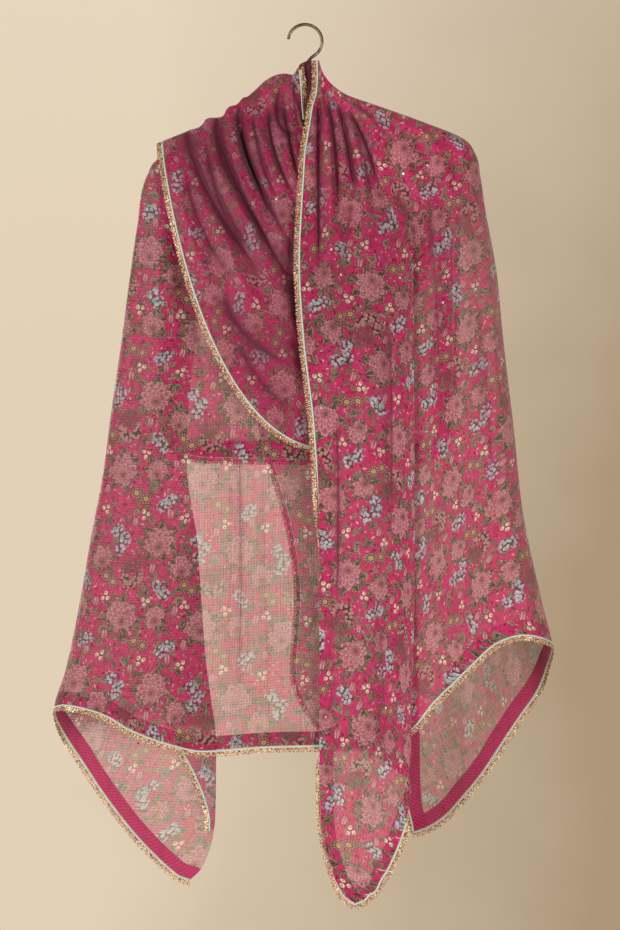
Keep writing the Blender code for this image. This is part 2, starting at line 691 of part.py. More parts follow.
def ribbon(name, edge, outward, upright, reach, height, finish, collection, pitch=None):
    """A closed band along an edge, four-sided, with tapered locks where pitched.

    Its section is a rectangle that starts at the first reach from the edge and
    ends at the second. Every other length of its outer side is drawn out.
    """
    stations = [(edge[0], outward[0], upright[0])]
    locks = []
    for k in range(len(edge) - 1):
        length = np.linalg.norm(edge[k + 1] - edge[k])
        pieces = 2 * max(1, round(length / (pitch * MM))) if pitch else 1
        for piece in range(1, pieces + 1):
            t = piece / pieces
            if pitch and piece % 2 == 0:
                locks.append(len(stations) - 1)
            stations.append([row[k] + t * (row[k + 1] - row[k])
                             for row in (edge, outward, upright)])
    near, far = (value * MM for value in reach)
    half = 0.5 * height * MM
    rings = np.array([[p + near * o + half * n, p + far * o + half * n,
                       p + far * o - half * n, p + near * o - half * n,
                       p + near * o + half * n] for p, o, n in stations])
    rows = len(stations)
    bm = bmesh.new()
    bmesh.ops.create_grid(bm, x_segments=4, y_segments=rows - 1, size=1.0)
    place = {}
    for vert in bm.verts:
        i = round((vert.co.x + 1) * 2)
        j = round((vert.co.y + 1) / 2 * (rows - 1))
        place[(j, i)] = vert
        vert.co = rings[j, i]
    outer = []
    for row in locks:
        around = {place[(row, 1)], place[(row, 2)], place[(row + 1, 1)], place[(row + 1, 2)]}
        face = next(f for f in place[(row, 1)].link_faces if set(f.verts) == around)
        outer.append((face, stations[row][1]))
    for face, direction in outer:
        grown = bmesh.ops.extrude_discrete_faces(bm, faces=[face])["faces"][0]
        centre = grown.calc_center_median()
        for vert in grown.verts:
            tip = centre + (vert.co - centre) * LOCK_TAPER
            vert.co = [tip[i] + direction[i] * LOCK_LENGTH * MM for i in range(3)]
    bmesh.ops.remove_doubles(bm, verts=bm.verts, dist=1e-6)
    open_edges = [e for e in bm.edges if len(e.link_faces) == 1]
    bmesh.ops.holes_fill(bm, edges=open_edges, sides=4)
    bmesh.ops.recalc_face_normals(bm, faces=bm.faces)
    mesh = bpy.data.meshes.new(name)
    bm.to_mesh(mesh)
    bm.free()
    mesh.materials.append(material(finish))
    return linked(bpy.data.objects.new(name, mesh), collection)


def trims(place, run, collection, pitch=LOCK_PITCH):
    """The piping and the fringe beyond one edge of the cloth."""
    outward, upright = run.frames()
    start = TRIM_GAP
    end = start + PIPING_WIDTH
    ribbon("piping_" + place, run.edge, outward, upright, (start, end),
           PIPING_HEIGHT, "piping", collection)
    start = end + SEAM_GAP
    end = start + FRINGE_BACKING
    ribbon("fringe_" + place, run.edge, outward, upright, (start, end),
           FRINGE_HEIGHT, "fringe", collection, pitch)


# ------------------------------------------------------------ hanger and hook

def hook(collection):
    """A round wire: an open circle, then an easy bend down into the stem."""
    centre_drop = HOOK_RADIUS - 0.5 * HOOK_WIRE
    points = []
    turns = 22
    for k in range(turns + 1):
        angle = math.radians(HOOK_TIP_ANGLE
                             + (HOOK_LOW_ANGLE - HOOK_TIP_ANGLE) * k / turns)
        points.append((HOOK_RADIUS * math.cos(angle),
                       centre_drop - HOOK_RADIUS * math.sin(angle)))
    low_x, low_drop = points[-1]
    bend = 6
    for k in range(1, bend + 1):
        t = k / bend
        leave_x = low_x - 9.0
        leave_drop = low_drop + 5.5
        points.append((cubic(low_x, leave_x, STEM_X, STEM_X, t),
                       cubic(low_drop, leave_drop, STEM_TOP - 3.0, STEM_TOP + 3.0, t)))
    points.append((STEM_X, STEM_FOOT))
    curve = bpy.data.curves.new("hook", "CURVE")
    curve.dimensions = "3D"
    curve.bevel_depth = 0.5 * HOOK_WIRE * MM
    curve.bevel_resolution = 2
    curve.use_fill_caps = True
    spline = curve.splines.new("POLY")
    spline.points.add(len(points) - 1)
    for point, (x, drop) in zip(spline.points, points):
        point.co = (x * MM, 0.0, -drop * MM, 1.0)
    curve.materials.append(material("hook"))
    return linked(bpy.data.objects.new("hook", curve), collection)


def hanger_outline():
    """Half of the hanger's front outline, from the neck to the middle of its base."""
    top = []
    for k in range(9):
        t = k / 8
        bow = HANGER_CROWN_RISE * math.sin(math.pi * t)
        top.append((HANGER_NECK_HALF + (HANGER_TIP_X - HANGER_NECK_HALF) * t,
                    HANGER_NECK_DROP + (HANGER_TIP_DROP - HANGER_NECK_DROP) * t - bow))
    tip = []
    radius = 0.5 * HANGER_TIP_HEIGHT
    for k in range(1, 6):
        angle = math.radians(90 - 180 * k / 6)
        tip.append((HANGER_TIP_X + radius * math.cos(angle),
                    HANGER_TIP_DROP + radius - radius * math.sin(angle)))
    base = []
    for k in range(5):
        t = k / 4
        base.append((HANGER_TIP_X * (1 - t) + 16 * t,
                     HANGER_TIP_DROP + HANGER_TIP_HEIGHT
                     + (HANGER_BASE_DROP - HANGER_TIP_DROP - HANGER_TIP_HEIGHT) * t))
    return top + tip + base


def hanger(collection):
    """A flat wooden hanger: its outline given thickness, drilled for the stem."""
    half = hanger_outline()
    outline = half + [(-x, drop) for x, drop in reversed(half)]
    bm = bmesh.new()
    depth = 0.5 * HANGER_THICKNESS * MM
    verts = [bm.verts.new(((x + STEM_X) * MM, -depth, -drop * MM)) for x, drop in outline]
    front = bm.faces.new(verts)
    grown = bmesh.ops.extrude_face_region(bm, geom=[front])["geom"]
    for item in grown:
        if isinstance(item, bmesh.types.BMVert):
            item.co.y = depth
    bmesh.ops.recalc_face_normals(bm, faces=bm.faces)
    mesh = bpy.data.meshes.new("hanger")
    bm.to_mesh(mesh)
    bm.free()
    mesh.materials.append(material("wood"))
    obj = linked(bpy.data.objects.new("hanger", mesh), collection)
    soften = obj.modifiers.new("soft edges", "BEVEL")
    soften.width = HANGER_EDGE_ROUND * MM
    soften.segments = 1
    soften.limit_method = "ANGLE"
    soften.angle_limit = math.radians(50)
    return obj


def stem_hole(cutters):
    """The drilled hole that the hook's stem sits in, with a small clearance."""
    bm = bmesh.new()
    bmesh.ops.create_cone(bm, cap_ends=True, segments=16,
                          radius1=(0.5 * HOOK_WIRE + SEAM_GAP) * MM,
                          radius2=(0.5 * HOOK_WIRE + SEAM_GAP) * MM,
                          depth=2 * (STEM_FOOT + SEAM_GAP - HANGER_NECK_DROP + 6) * MM)
    for vert in bm.verts:
        low = -(STEM_FOOT + SEAM_GAP) * MM
        vert.co.z = low if vert.co.z < 0 else -(HANGER_NECK_DROP - 6) * MM
        vert.co.x += STEM_X * MM
    mesh = bpy.data.meshes.new("stem_hole")
    bm.to_mesh(mesh)
    bm.free()
    obj = linked(bpy.data.objects.new("stem_hole", mesh), cutters)
    obj.hide_render = True
    obj.display_type = "WIRE"
    return obj


# ------------------------------------------------------------------------ build

def cloth_grids():
    """Every stretch of cloth as a grid, with its seams open."""
    start = YOKE_LEVELS[0]
    shares = np.array(COWL_ACROSS, float)
    cross_lines = grid_of(lambda across, along: cowl(along, across),
                          COWL_ACROSS, COWL_ALONG, hem=False)
    behind = [points_of(yoke, 0.5 + half * shares, np.full_like(shares, start))[None]
              for half in (-0.5, 0.5)]
    cloth = {
        "right_front": grid_of(right_front, RIGHT_FRONT_SHARES, TALL_LEVELS),
        "right_back": grid_of(right_back, RIGHT_BACK_SHARES, TALL_LEVELS),
        "left_front": grid_of(left_front, LEFT_FRONT_SHARES, LEFT_LEVELS),
        "left_back": grid_of(left_back, LEFT_BACK_SHARES, LEFT_LEVELS),
        "left_inner": grid_of(left_inner, INNER_SHARES, INNER_LEVELS),
        "left_roll": grid_of(left_roll, ROLL_SHARES, ROLL_LEVELS, hem=False),
        "cowl": np.concatenate((behind[0], cross_lines, behind[1])),
        "back_yoke": grid_of(yoke, YOKE_SHARES, YOKE_LEVELS),
    }
    for name in ("right_front", "right_back", "left_front", "left_back"):
        open_seam(cloth[name], "last")
    for name, side in (("cowl", "top"), ("cowl", "bottom"), ("back_yoke", "top")):
        open_seam(cloth[name], side, RIDGE_SEAM_PULL * MM)
    return cloth


def cloth_edges(cloth):
    """The run of every trimmed edge, named by its place.

    The stretch of hem hidden inside the pleat has no trim.
    """
    front, back, behind = cloth["right_front"], cloth["right_back"], cloth["back_yoke"]
    hem = border(front, "hem")
    pleat_in = RIGHT_FRONT_SHARES.index(PLEAT_TRIM_ENDS) + 1
    pleat_out = RIGHT_FRONT_SHARES.index(PLEAT_TRIM_STARTS)
    right = border(front, "first").then(hem.part(None, pleat_in), front[-2, 1])
    outer = hem.part(pleat_out, None).then(border(back, "hem").turned())
    outer = outer.then(border(back, "first").turned(), back[-2, 1])
    left = border(cloth["left_front"], "hem")
    left = left.then(border(cloth["left_back"], "hem").turned())
    inner = border(cloth["left_inner"], "first")
    inner = inner.then(border(cloth["left_inner"], "hem"), cloth["left_inner"][-2, 1])
    yoke_run = border(behind, "first").then(border(behind, "hem"), behind[-2, 1])
    yoke_run = yoke_run.then(border(behind, "last").turned(), behind[-2, -2])
    return {
        "right_front": right,
        "right_back": outer,
        "left_hem": left,
        "left_roll": border(cloth["left_roll"], "last"),
        "left_inner": inner,
        "cowl": border(cloth["cowl"], "last").part(1, -1),
        "yoke": yoke_run,
    }


def build():
    for obj in list(bpy.data.objects):
        bpy.data.objects.remove(obj)
    parts = bpy.data.collections.new("dupatta_stole")
    cutters = bpy.data.collections.new("cutters")
    bpy.context.scene.collection.children.link(parts)
    bpy.context.scene.collection.children.link(cutters)

    hook(parts)
    body = hanger(parts)
    cut = body.modifiers.new("stem hole", "BOOLEAN")
    cut.object = stem_hole(cutters)
    cut.operation = "DIFFERENCE"

    cloth = cloth_grids()
    for name, points in cloth.items():
        cloth_wall(name, points, parts)
    runs = cloth_edges(cloth)
    for place, run in runs.items():
        trims(place, run, parts, None if place in PLAIN_FRINGES else LOCK_PITCH)
    for place, side, first, last in FACINGS[1]:
        facing("facing_" + place, runs[place].part(first, last), side, parts)


build()
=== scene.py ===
"""Looks of a printed dupatta stole, wound about a wooden hanger with a wire hook.

Lengths in the tables are millimetres. "drop" is the distance below the crown of
the hook, x is the distance from the centre line, and -y is the front.
"""

import math

import bmesh
import bpy
import numpy as np
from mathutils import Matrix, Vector


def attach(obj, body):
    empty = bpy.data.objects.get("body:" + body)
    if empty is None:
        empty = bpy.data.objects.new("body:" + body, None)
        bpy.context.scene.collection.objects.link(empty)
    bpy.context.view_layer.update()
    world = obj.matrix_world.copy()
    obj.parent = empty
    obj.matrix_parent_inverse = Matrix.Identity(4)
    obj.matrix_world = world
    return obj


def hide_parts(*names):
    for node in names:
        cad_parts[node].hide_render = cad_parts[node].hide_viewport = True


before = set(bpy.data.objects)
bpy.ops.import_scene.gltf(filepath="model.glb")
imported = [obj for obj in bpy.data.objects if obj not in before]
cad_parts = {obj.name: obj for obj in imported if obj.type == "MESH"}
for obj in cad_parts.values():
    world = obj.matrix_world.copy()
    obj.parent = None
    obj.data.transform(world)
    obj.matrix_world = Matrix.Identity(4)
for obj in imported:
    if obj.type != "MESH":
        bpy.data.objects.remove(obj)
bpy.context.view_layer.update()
MM = 0.001

# ---------------------------------------------------------------------- sizes

RIGHT_TUCK_SHARE = 0.345
RIGHT_TUCK_HALF = 0.025
RIGHT_TUCK_SPACING = 5.0
RIGHT_SIDE_ROUND = 0.26
LEFT_SIDE_ROUND = 0.17
BACK_SIDE_ROUND = 0.30
COWL_LEFT_LEAN = 0.13
COWL_LOW_DIP = 0.20
COWL_LOW_REACH = 0.42
COWL_LOW_RISE = 0.03
COWL_RIGHT_LEAN = 0.06
COWL_RIGHT_FALL = 0.85
COWL_BELLY = 12
COWL_FULL_DEPTH = 50.0
INNER_TOP = 169.0
INNER_BEHIND = 7.0
INNER_MEET = 4.0
INNER_WAVE = 0.8
LEFT_FOLD_BACK = 3.0
ROLL_LIFT = 6.0

FACING_WIDTH = 19.0
FACING_OFF = 1.0
FACING_LAP = 0.12
LEFT_STRIP_SKIP = 3
COWL_STRIP_SKIP = 6
YOKE_STRIP_SKIP = 4
PIPING_OUT = 1.8
PIPING_RADIUS = 1.25
BRAID_OUT = 4.4
BRAID_HALF_WIDTH = 1.25
BRAID_HALF_HEIGHT = 0.8
TRIM_STEP = 2.2
FRINGE_START = 5.0
FRINGE_REACH = 9.6
FRINGE_PITCH = 2.2
NECK_TRIM_END = 134.0
# Where the right hem passes behind its pleat, as shares across the front.
PLEAT_TRIM_END = 0.3115
PLEAT_TRIM_START = 0.3575
PLEAT_FACING_END = 0.414
PLEAT_FACING_START = 0.511
BACK_PRINT_START = 520.0

# How much denser than one even layer the cloth is, by place: bunched at the neck,
# doubled in hems and folds, thinner where one layer shows against another.
RIGHT_DENSE = {"even": 0.06, "neck": 0.44, "low": 0.16}
# Gather values thicken the cloth and also darken its colour as painted shade.
RIGHT_NECK_GATHER_AND_SHADE = 0.42
LEFT_DENSE = {"past": 0.10, "even": 0.03, "above": 0.25, "under": 0.18}
FOLD_DENSE = 0.10
ROLL_DENSE = 0.08
YOKE_DENSE = {"even": 0.08, "neck": 0.42, "band": 0.30, "right": 0.27}
YOKE_BAND_GATHER_AND_SHADE = 0.90
COWL_DENSE = {"even": 0.26, "neck": 0.24}
COWL_GATHER_AND_SHADE = 0.52
TUCK_GATHER_AND_SHADE = 1.2
TUCK_DENSE = 0.5

# Beads as x and drop: on the front, and scattered alike behind.
FRONT_BEADS = ((168, 200), (133, 213), (35, 319), (50, 354), (132, 357), (192, 389),
               (22, 539), (211, 601), (-39, 246), (109, 948), (31, 960))
BACK_BEADS = ((150, 260), (228, 470), (160, 690), (60, 330), (-70, 420), (-180, 640),
              (-260, 840), (20, 520), (120, 900), (-240, 1010), (-110, 240))
# Where the right front's edge rolls under, as turns in degrees of its cord and
# thread about the edge, and how far both are carried behind and in from it.
ROLLED_COLUMNS = ("drop", "cord", "thread", "under", "inward")
ROLLED_EDGE = (
    (590, 0, 0, 0.0, 0.0),
    (650, 75, 20, 0.9, 0.8),
    (700, 120, 55, 1.7, 0.8),
    (765, 150, 120, 2.4, 0.0),
    (985, 150, 150, 2.4, 0.0),
    (1040, 110, 30, 1.2, 2.4),
    (1170, 100, 20, 1.0, 2.4),
    (1212, 0, 0, 0.0, 0.0))
# A bead's rings as radius and height, how far it stands off the cloth, and how far
# about its place the outermost cloth is looked for.
BEAD_RINGS = ((1.2, 0.0), (1.9, 0.6), (1.0, 1.5))
BEAD_OFF = 0.3
BEAD_SEARCH = 2.5
# The tuck of cloth between the two edges at the neck.
NECK_TUCK = (("drop", "left_x", "right_x"), (
    (49, -3, 17), (58, -9, 17.5), (74, -10, 18), (92, -8.5, 17), (111, -7, 13.5),
    (130, -5, 9.5)))

# --------------------------------------------------------------- shape tables

RIGHT_COLUMNS = ("drop", "edge_x", "curl", "front_y", "tuck_x", "tuck", "side_x",
                 "back_y", "back_x")
RIGHT_SECTIONS = (
    (50, 18, 0, -13, 19, 0.00, 20, 11, 16),
    (64, 19, 0, -15, 21, 0.00, 24, 13, 16),
    (78, 19, 0, -18, 24, 0.00, 33, 15, 17),
    (90, 18, 0, -21, 28, 0.00, 46, 17, 19),
    (99, 17, 0, -23, 32, 0.00, 61, 18, 20),
    (112, 13, 0, -27, 42, 0.00, 98, 19, 25),
    (136, 9, 0, -34, 70, 0.00, 165, 22, 34),
    (161, 5, 0, -40, 95, 0.00, 224, 27, 45),
    (180, 2, 0, -45, 110, 0.00, 238, 30, 54),
    (213, 0, 0, -52, 126, 0.00, 245, 35, 68),
    (260, -3, 0, -59, 140, 0.02, 252, 41, 88),
    (336, -6, 0, -66, 150, 0.07, 266, 47, 108),
    (442, 0, 1, -68, 151, 0.10, 277, 50, 122),
    (560, 14, 3, -68, 151, 0.12, 291, 52, 130),
    (692, 19, 5, -68, 151, 0.14, 306, 53, 136),
    (806, 19, 7, -67, 149, 0.16, 331, 53, 139),
    (883, 20, 8, -66, 147, 0.17, 348, 52, 141),
    (979, 20, 8, -66, 144, 0.18, 350, 50, 143),
    (1091, 21, 8, -65, 143, 0.19, 350, 48, 146),
    (1130, 25, 8, -64, 143, 0.19, 350, 47, 154),
    (1165, 34, 7, -62, 143, 0.19, 350, 46, 158),
    (1195, 46, 6, -60, 143, 0.19, 350, 45, 158),
    (1212, 58, 5, -59, 143, 0.19, 350, 45, 158),
    (1220, 70, 5, -58, 143, 0.19, 350, 45, 158),
)
RIGHT_FRONT_HEM = (("share", "drop"), (
    (0.00, 1220), (0.177, 1207), (0.269, 1187), (0.293, 1160), (0.304, 1130),
    (0.312, 1100), (0.319, 1076), (0.345, 1030), (0.375, 998), (0.412, 979),
    (0.474, 942), (0.538, 914), (0.599, 888), (0.661, 864), (0.726, 851),
    (0.783, 847), (0.856, 851), (0.919, 857), (1.00, 864)))
RIGHT_BACK_HEM = (("share", "drop"), (
    (0.00, 1134), (0.122, 1123), (0.23, 1106), (0.331, 1081), (0.442, 1049),
    (0.533, 1016), (0.649, 974), (0.78, 930), (0.877, 893), (1.00, 864)))
LEFT_COLUMNS = ("drop", "inner_x", "fold_x", "front_y", "side_x", "back_y", "back_x")
LEFT_SECTIONS = (
    (114, -24, -9, -9, -47, 9, -14),
    (124, -20, -4, -9, -67, 9, -20),
    (136, -16, 2, -9.5, -92, 9.5, -28),
    (147, -12, 9, -10, -115, 10, -36),
    (158, -10, 18, -10.5, -137, 10.5, -45),
    (169, -12, 30, -11, -160, 11, -54),
    (179, -18, 42, -12, -191, 12, -62),
    (188, -24, 52, -13, -208, 13, -68),
    (207, -32, 66, -15, -220, 15, -78),
    (280, -54, 98, -19, -235, 19, -110),
    (349, -66, 114, -22, -245, 22, -134),
    (455, -68, 124, -26, -259, 26, -156),
    (559, -56, 128, -30, -274, 29, -166),
    (615, -42, 129, -32, -281, 31, -167),
    (717, -15, 130, -36, -300, 36, -153),
    (799, -6, 130, -39, -314, 40, -147),
    (904, -12, 130, -43, -336, 44, -139),
    (955, 8, 130, -45, -351, 46, -132),
    (1003, 44, 130, -46, -352, 46, -126),
    (1107, 60, 130, -46, -352, 45, -127),
    (1144, 60, 130, -46, -352, 44, -131),
    (1170, 60, 130, -46, -352, 43, -139),
    (1190, 60, 130, -46, -352, 42, -150),
    (1201, 60, 130, -46, -352, 41, -162),
)
LEFT_FRONT_HEM = (("share", "drop"), (
    (0.00, 1000), (0.217, 1002), (0.365, 1004), (0.465, 1008), (0.517, 1009),
    (0.594, 1001), (0.654, 991), (0.715, 977), (0.763, 962), (0.838, 949),
    (0.895, 946), (1.00, 955)))
LEFT_BACK_HEM = (("share", "drop"), (
    (0.00, 1201), (0.122, 1193), (0.28, 1169), (0.445, 1130), (0.602, 1077),
    (0.74, 1023), (0.883, 981), (1.00, 955)))
LEFT_INNER_HEM = (("share", "drop"), ((0.0, 995), (0.5, 998), (1.0, 1000)))
ROLL_SECTIONS = (("drop", "width"), (
    (690, 4), (730, 22), (800, 42), (900, 57), (960, 61), (1005, 57), (1025, 43),
    (1058, 26), (1084, 15), (1107, 8), (1132, 5)))
RIDGE_COLUMNS = ("share", "left_x", "left_drop", "right_x", "right_drop")
RIDGE = (
    (0.00, -10, 58, 13, 67),
    (0.07, -18, 68, 20, 77),
    (0.12, -28, 66.5, 29, 86),
    (0.19, -42, 69, 43, 99),
    (0.25, -57, 77.5, 55, 107),
    (0.30, -69, 89, 69, 113),
    (0.33, -78, 97, 78, 117),
    (0.395, -88, 101.5, 95, 121),
    (0.43, -94, 108.5, 103, 124),
    (0.51, -110, 117, 121, 130),
    (0.535, -115, 126, 127, 133),
    (0.66, -139, 130.5, 156, 144),
    (0.685, -143, 136.5, 161, 146),
    (0.80, -163, 146, 182, 154),
    (1.00, -199, 161, 211, 172),
)
COWL_COLUMNS = ("share", "left_pull", "low_x", "low_drop", "low_pull", "right_pull")
COWL_LINES = (
    (0.00, 34, 4, 168, 8, 30),
    (0.25, 60, 9, 318, 22, 60),
    (0.42, 80, 15, 398, 36, 80),
    (0.60, 92, 18, 466, 52, 96),
    (0.80, 112, 16, 536, 92, 110),
    (1.00, 130, 14, 589, 138, 118),
)
COWL_DEPTH = (("drop", "y"), (
    (55, -8), (80, -9), (100, -9.5), (114, -11.0), (126, -15.5), (150, -26),
    (180, -33), (220, -41), (260, -46), (320, -50), (420, -52), (500, -49),
    (600, -43)))
COWL_FOLDS = (("share", "width", "depth", "lean"), (
    (0.14, 0.060, 6.0, 6.0),
    (0.33, 0.075, 7.5, 9.0),
    (0.53, 0.070, 7.5, 10.0),
    (0.72, 0.080, 6.0, 8.0),
    (0.90, 0.060, 3.0, 3.0)))
YOKE_HEM = (("share", "x", "drop"), (
    (0.00, -197, 564), (0.03, -187, 586), (0.07, -172, 597), (0.12, -152, 602),
    (0.25, -106, 604), (0.50, 5, 605), (0.75, 118, 604), (0.88, 170, 602),
    (0.93, 188, 597), (0.97, 200, 586), (1.00, 207, 564)))
YOKE_DEPTH = (("drop", "y"), (
    (58, 5.5), (100, 14), (160, 20), (200, 25), (300, 32), (450, 38), (605, 42)))

# Hanging folds: where each runs by share, how far down, how wide and how deep.
# Columns: top_share, low_share, start, end, width, depth.
RIGHT_FRONT_FOLDS = (
    (0.11, 0.10, 60, 640, 0.040, 6.0),
    (0.24, 0.22, 70, 1180, 0.045, 7.0),
    (0.48, 0.50, 80, 800, 0.050, 6.0),
    (0.66, 0.67, 100, 620, 0.050, 6.0),
    (0.82, 0.80, 130, 820, 0.050, 5.0),
)
RIGHT_BACK_FOLDS = (
    (0.20, 0.22, 80, 1080, 0.060, 6.0),
    (0.42, 0.46, 90, 1000, 0.060, 6.0),
    (0.66, 0.68, 110, 960, 0.060, 6.0),
    (0.10, 0.12, 150, 900, 0.030, -3.0),
    (0.31, 0.34, 160, 1100, 0.028, -3.0),
    (0.54, 0.57, 140, 980, 0.030, 2.5),
    (0.80, 0.81, 200, 940, 0.035, 3.0),
)
LEFT_FRONT_FOLDS = (
    (0.40, 0.475, 560, 990, 0.030, 2.5),
    (0.60, 0.62, 200, 980, 0.050, 4.0),
    (0.80, 0.78, 170, 940, 0.050, 5.0),
)
LEFT_BACK_FOLDS = (
    (0.30, 0.34, 240, 1140, 0.070, 3.0),
    (0.66, 0.66, 200, 1060, 0.070, 4.0),
    (0.14, 0.18, 300, 1000, 0.030, 2.0),
    (0.48, 0.50, 260, 1100, 0.030, -2.5),
    (0.82, 0.80, 240, 980, 0.035, 2.5),
)
YOKE_FOLDS = (
    (0.25, 0.27, 150, 600, 0.050, 2.5),
    (0.42, 0.42, 90, 600, 0.045, 3.0),
    (0.58, 0.58, 90, 600, 0.045, 3.0),
    (0.14, 0.12, 170, 560, 0.025, 2.0),
    (0.34, 0.33, 130, 590, 0.022, -2.0),
    (0.50, 0.50, 90, 500, 0.020, -2.5),
    (0.68, 0.70, 130, 590, 0.024, 2.0),
    (0.83, 0.86, 170, 560, 0.025, -2.0),
)

# Creases seen from the front, each along a bend through three places, with its
# width and its depth: troughs above zero, ridges below.
# Columns: top_x, top_drop, mid_x, mid_drop, low_x, low_drop, width, depth.
RIGHT_CREASES = (
    (21, 90, 19, 230, 21, 420, 4.5, 9.0),
    (45, 109, 62, 185, 69, 252, 5.0, 9.5),
    (30, 96, 42, 190, 46, 300, 4.0, 7.0),
    (60, 118, 86, 176, 104, 240, 5.0, 6.0),
    (66, 244, 55, 339, 41, 490, 9.0, 4.0),
    (32, 98, 36, 202, 35, 384, 6.0, -4.5),
    (55, 115, 78, 202, 88, 328, 9.0, -5.0),
    (66, 102, 94, 137, 133, 174, 5.0, 3.0),
    (80, 188, 94, 265, 105, 384, 7.0, 3.5),
    (43, 524, 46, 692, 42, 874, 9.0, 7.5),
    (84, 426, 85, 622, 80, 860, 14.0, -6.0),
    (116, 384, 119, 566, 118, 748, 10.0, 6.5),
    (63, 860, 66, 1000, 56, 1168, 10.0, -5.0),
    (38, 860, 36, 986, 43, 1126, 7.0, 4.5),
    (102, 804, 108, 944, 111, 1084, 9.0, 5.5),
    (168, 230, 183, 426, 189, 692, 13.0, 5.0),
    (211, 286, 220, 496, 231, 748, 16.0, -4.0),
    (242, 384, 253, 566, 270, 804, 12.0, 4.5),
    (167, 748, 197, 804, 253, 837, 14.0, 4.0),
    (175, 832, 220, 854, 273, 860, 12.0, -3.0),
)
COWL_CREASES = (
    (-92, 104, -76, 200, -11, 320, 4.5, 11.0),
    (-124, 120, -94, 226, -9, 376, 5.0, 11.5),
    (-170, 132, -132, 240, -52, 362, 7.0, 8.5),
    (-91, 110, -82, 180, -52, 250, 4.0, 6.5),
    (-124, 122, -118, 180, -88, 250, 4.5, 5.5),
    (-34, 80, -36, 138, -6, 154, 4.0, 8.0),
    (-31, 100, -22, 160, -4, 230, 4.0, 8.0),
    (-14, 73, -15, 109, -7, 148, 3.5, 5.0),
    (-48, 110, -44, 176, -9, 250, 4.0, 7.0),
    (-24, 290, -9, 400, -3, 520, 13.0, 7.0),
    (-74, 118, -60, 190, -36, 250, 4.0, 6.0),
    (-140, 150, -112, 260, -60, 330, 5.0, 5.0),
    (-60, 101, -60, 174, -10, 260, 8.0, -4.5),
    (-102, 120, -83, 199, -18, 297, 5.0, -4.0),
    (-140, 137, -111, 227, -27, 344, 7.0, -5.0),
    (-164, 210, -143, 286, -91, 372, 9.0, 3.5),
    (-181, 174, -161, 286, -108, 409, 9.0, -3.5),
    (-116, 370, -77, 440, -10, 476, 13.0, 4.5),
    (-94, 440, -57, 504, -4, 540, 11.0, 3.0),
    (-108, 286, -80, 370, -21, 426, 9.0, -4.0),
    (60, 190, 52, 300, 20, 400, 8.0, 4.0),
    (110, 200, 92, 330, 40, 460, 10.0, -4.0),
)
LEFT_CREASES = (
    (-217, 244, -231, 426, -248, 622, 12.0, 3.5),
    (-186, 314, -181, 426, -172, 552, 12.0, -3.0),
    (-153, 412, -139, 524, -127, 692, 10.0, 3.0),
    (-92, 560, -89, 776, -93, 983, 6.5, 6.0),
    (-102, 596, -104, 790, -108, 983, 6.0, 2.5),
    (-262, 552, -276, 720, -287, 930, 10.0, 3.5),
    (-223, 636, -231, 790, -242, 965, 12.0, -3.5),
    (-192, 692, -189, 832, -192, 979, 8.0, 3.0),
    (-60, 622, -55, 804, -49, 986, 8.0, 2.5),
    (-28, 622, -18, 804, -7, 993, 9.0, -2.0),
    (-293, 748, -298, 832, -315, 916, 8.0, -3.0),
)
# Crests that stand out near the neck, in the same columns.
COWL_CRESTS = (
    (-23, 72, -13, 112, -1, 152, 6.5, 7.0),
    (-45, 76, -43, 120, -14, 190, 7.0, 5.0),
    (-70, 92, -62, 150, -20, 240, 8.0, 4.0),
)


# ------------------------------------------------------------ tables and curves

def column(columns, rows, name, at):
    """A named column read at any value of the first one: a cubic between the rows,
    its slope at each the mean of those on both sides, or level where it turns."""
    table = np.array(rows, dtype=float)
    x = table[:, 0]
    y = table[:, columns.index(name)]
    step = np.diff(x)
    slope = np.diff(y) / step
    mean = (slope[:-1] * step[1:] + slope[1:] * step[:-1]) / (step[:-1] + step[1:])
    limit = 3 * np.minimum(np.abs(slope[:-1]), np.abs(slope[1:]))
    inner = np.where(slope[:-1] * slope[1:] <= 0, 0.0, np.clip(mean, -limit, limit))
    tangent = np.concatenate(([slope[0]], inner, [slope[-1]]))
    at = np.clip(np.asarray(at, dtype=float), x[0], x[-1])
    i = np.clip(np.searchsorted(x, at, side="right") - 1, 0, len(x) - 2)
    h = step[i]
    t = (at - x[i]) / h
    return (y[i] * (1 + 2 * t) * (1 - t) ** 2 + y[i + 1] * t * t * (3 - 2 * t)
            + h * tangent[i] * t * (1 - t) ** 2 + h * tangent[i + 1] * t * t * (t - 1))


def smooth_step(t):
    """3 t^2 - 2 t^3, held between 0 and 1."""
    t = np.clip(t, 0.0, 1.0)
    return t * t * (3 - 2 * t)


def round_over(share, rounding):
    """How far a run has gone to its side, straight and then round a quarter of an
    oval, and how much of its depth it still has there."""
    left = 1.0 - share
    bend = 1.0 / (2 * rounding - rounding ** 2)
    along = np.where(left < rounding, 1 - bend * left * left,
                     share * 2.0 / (2.0 - rounding))
    return along, np.sin(0.5 * np.pi * np.clip(left / rounding, 0, 1))


def fold_relief(folds, share, drop):
    """The sum of ridges depth * exp(-(distance / width)^2), faded at both ends."""
    relief = np.zeros_like(share)
    for top_share, low_share, start, end, width, depth in folds:
        along = np.clip((drop - start) / (end - start), 0, 1)
        centre = top_share + (low_share - top_share) * along
        ends = smooth_step((drop - start) / 60) * smooth_step((end - drop) / 90)
        relief += depth * ends * np.exp(-((share - centre) / width) ** 2)
    return relief


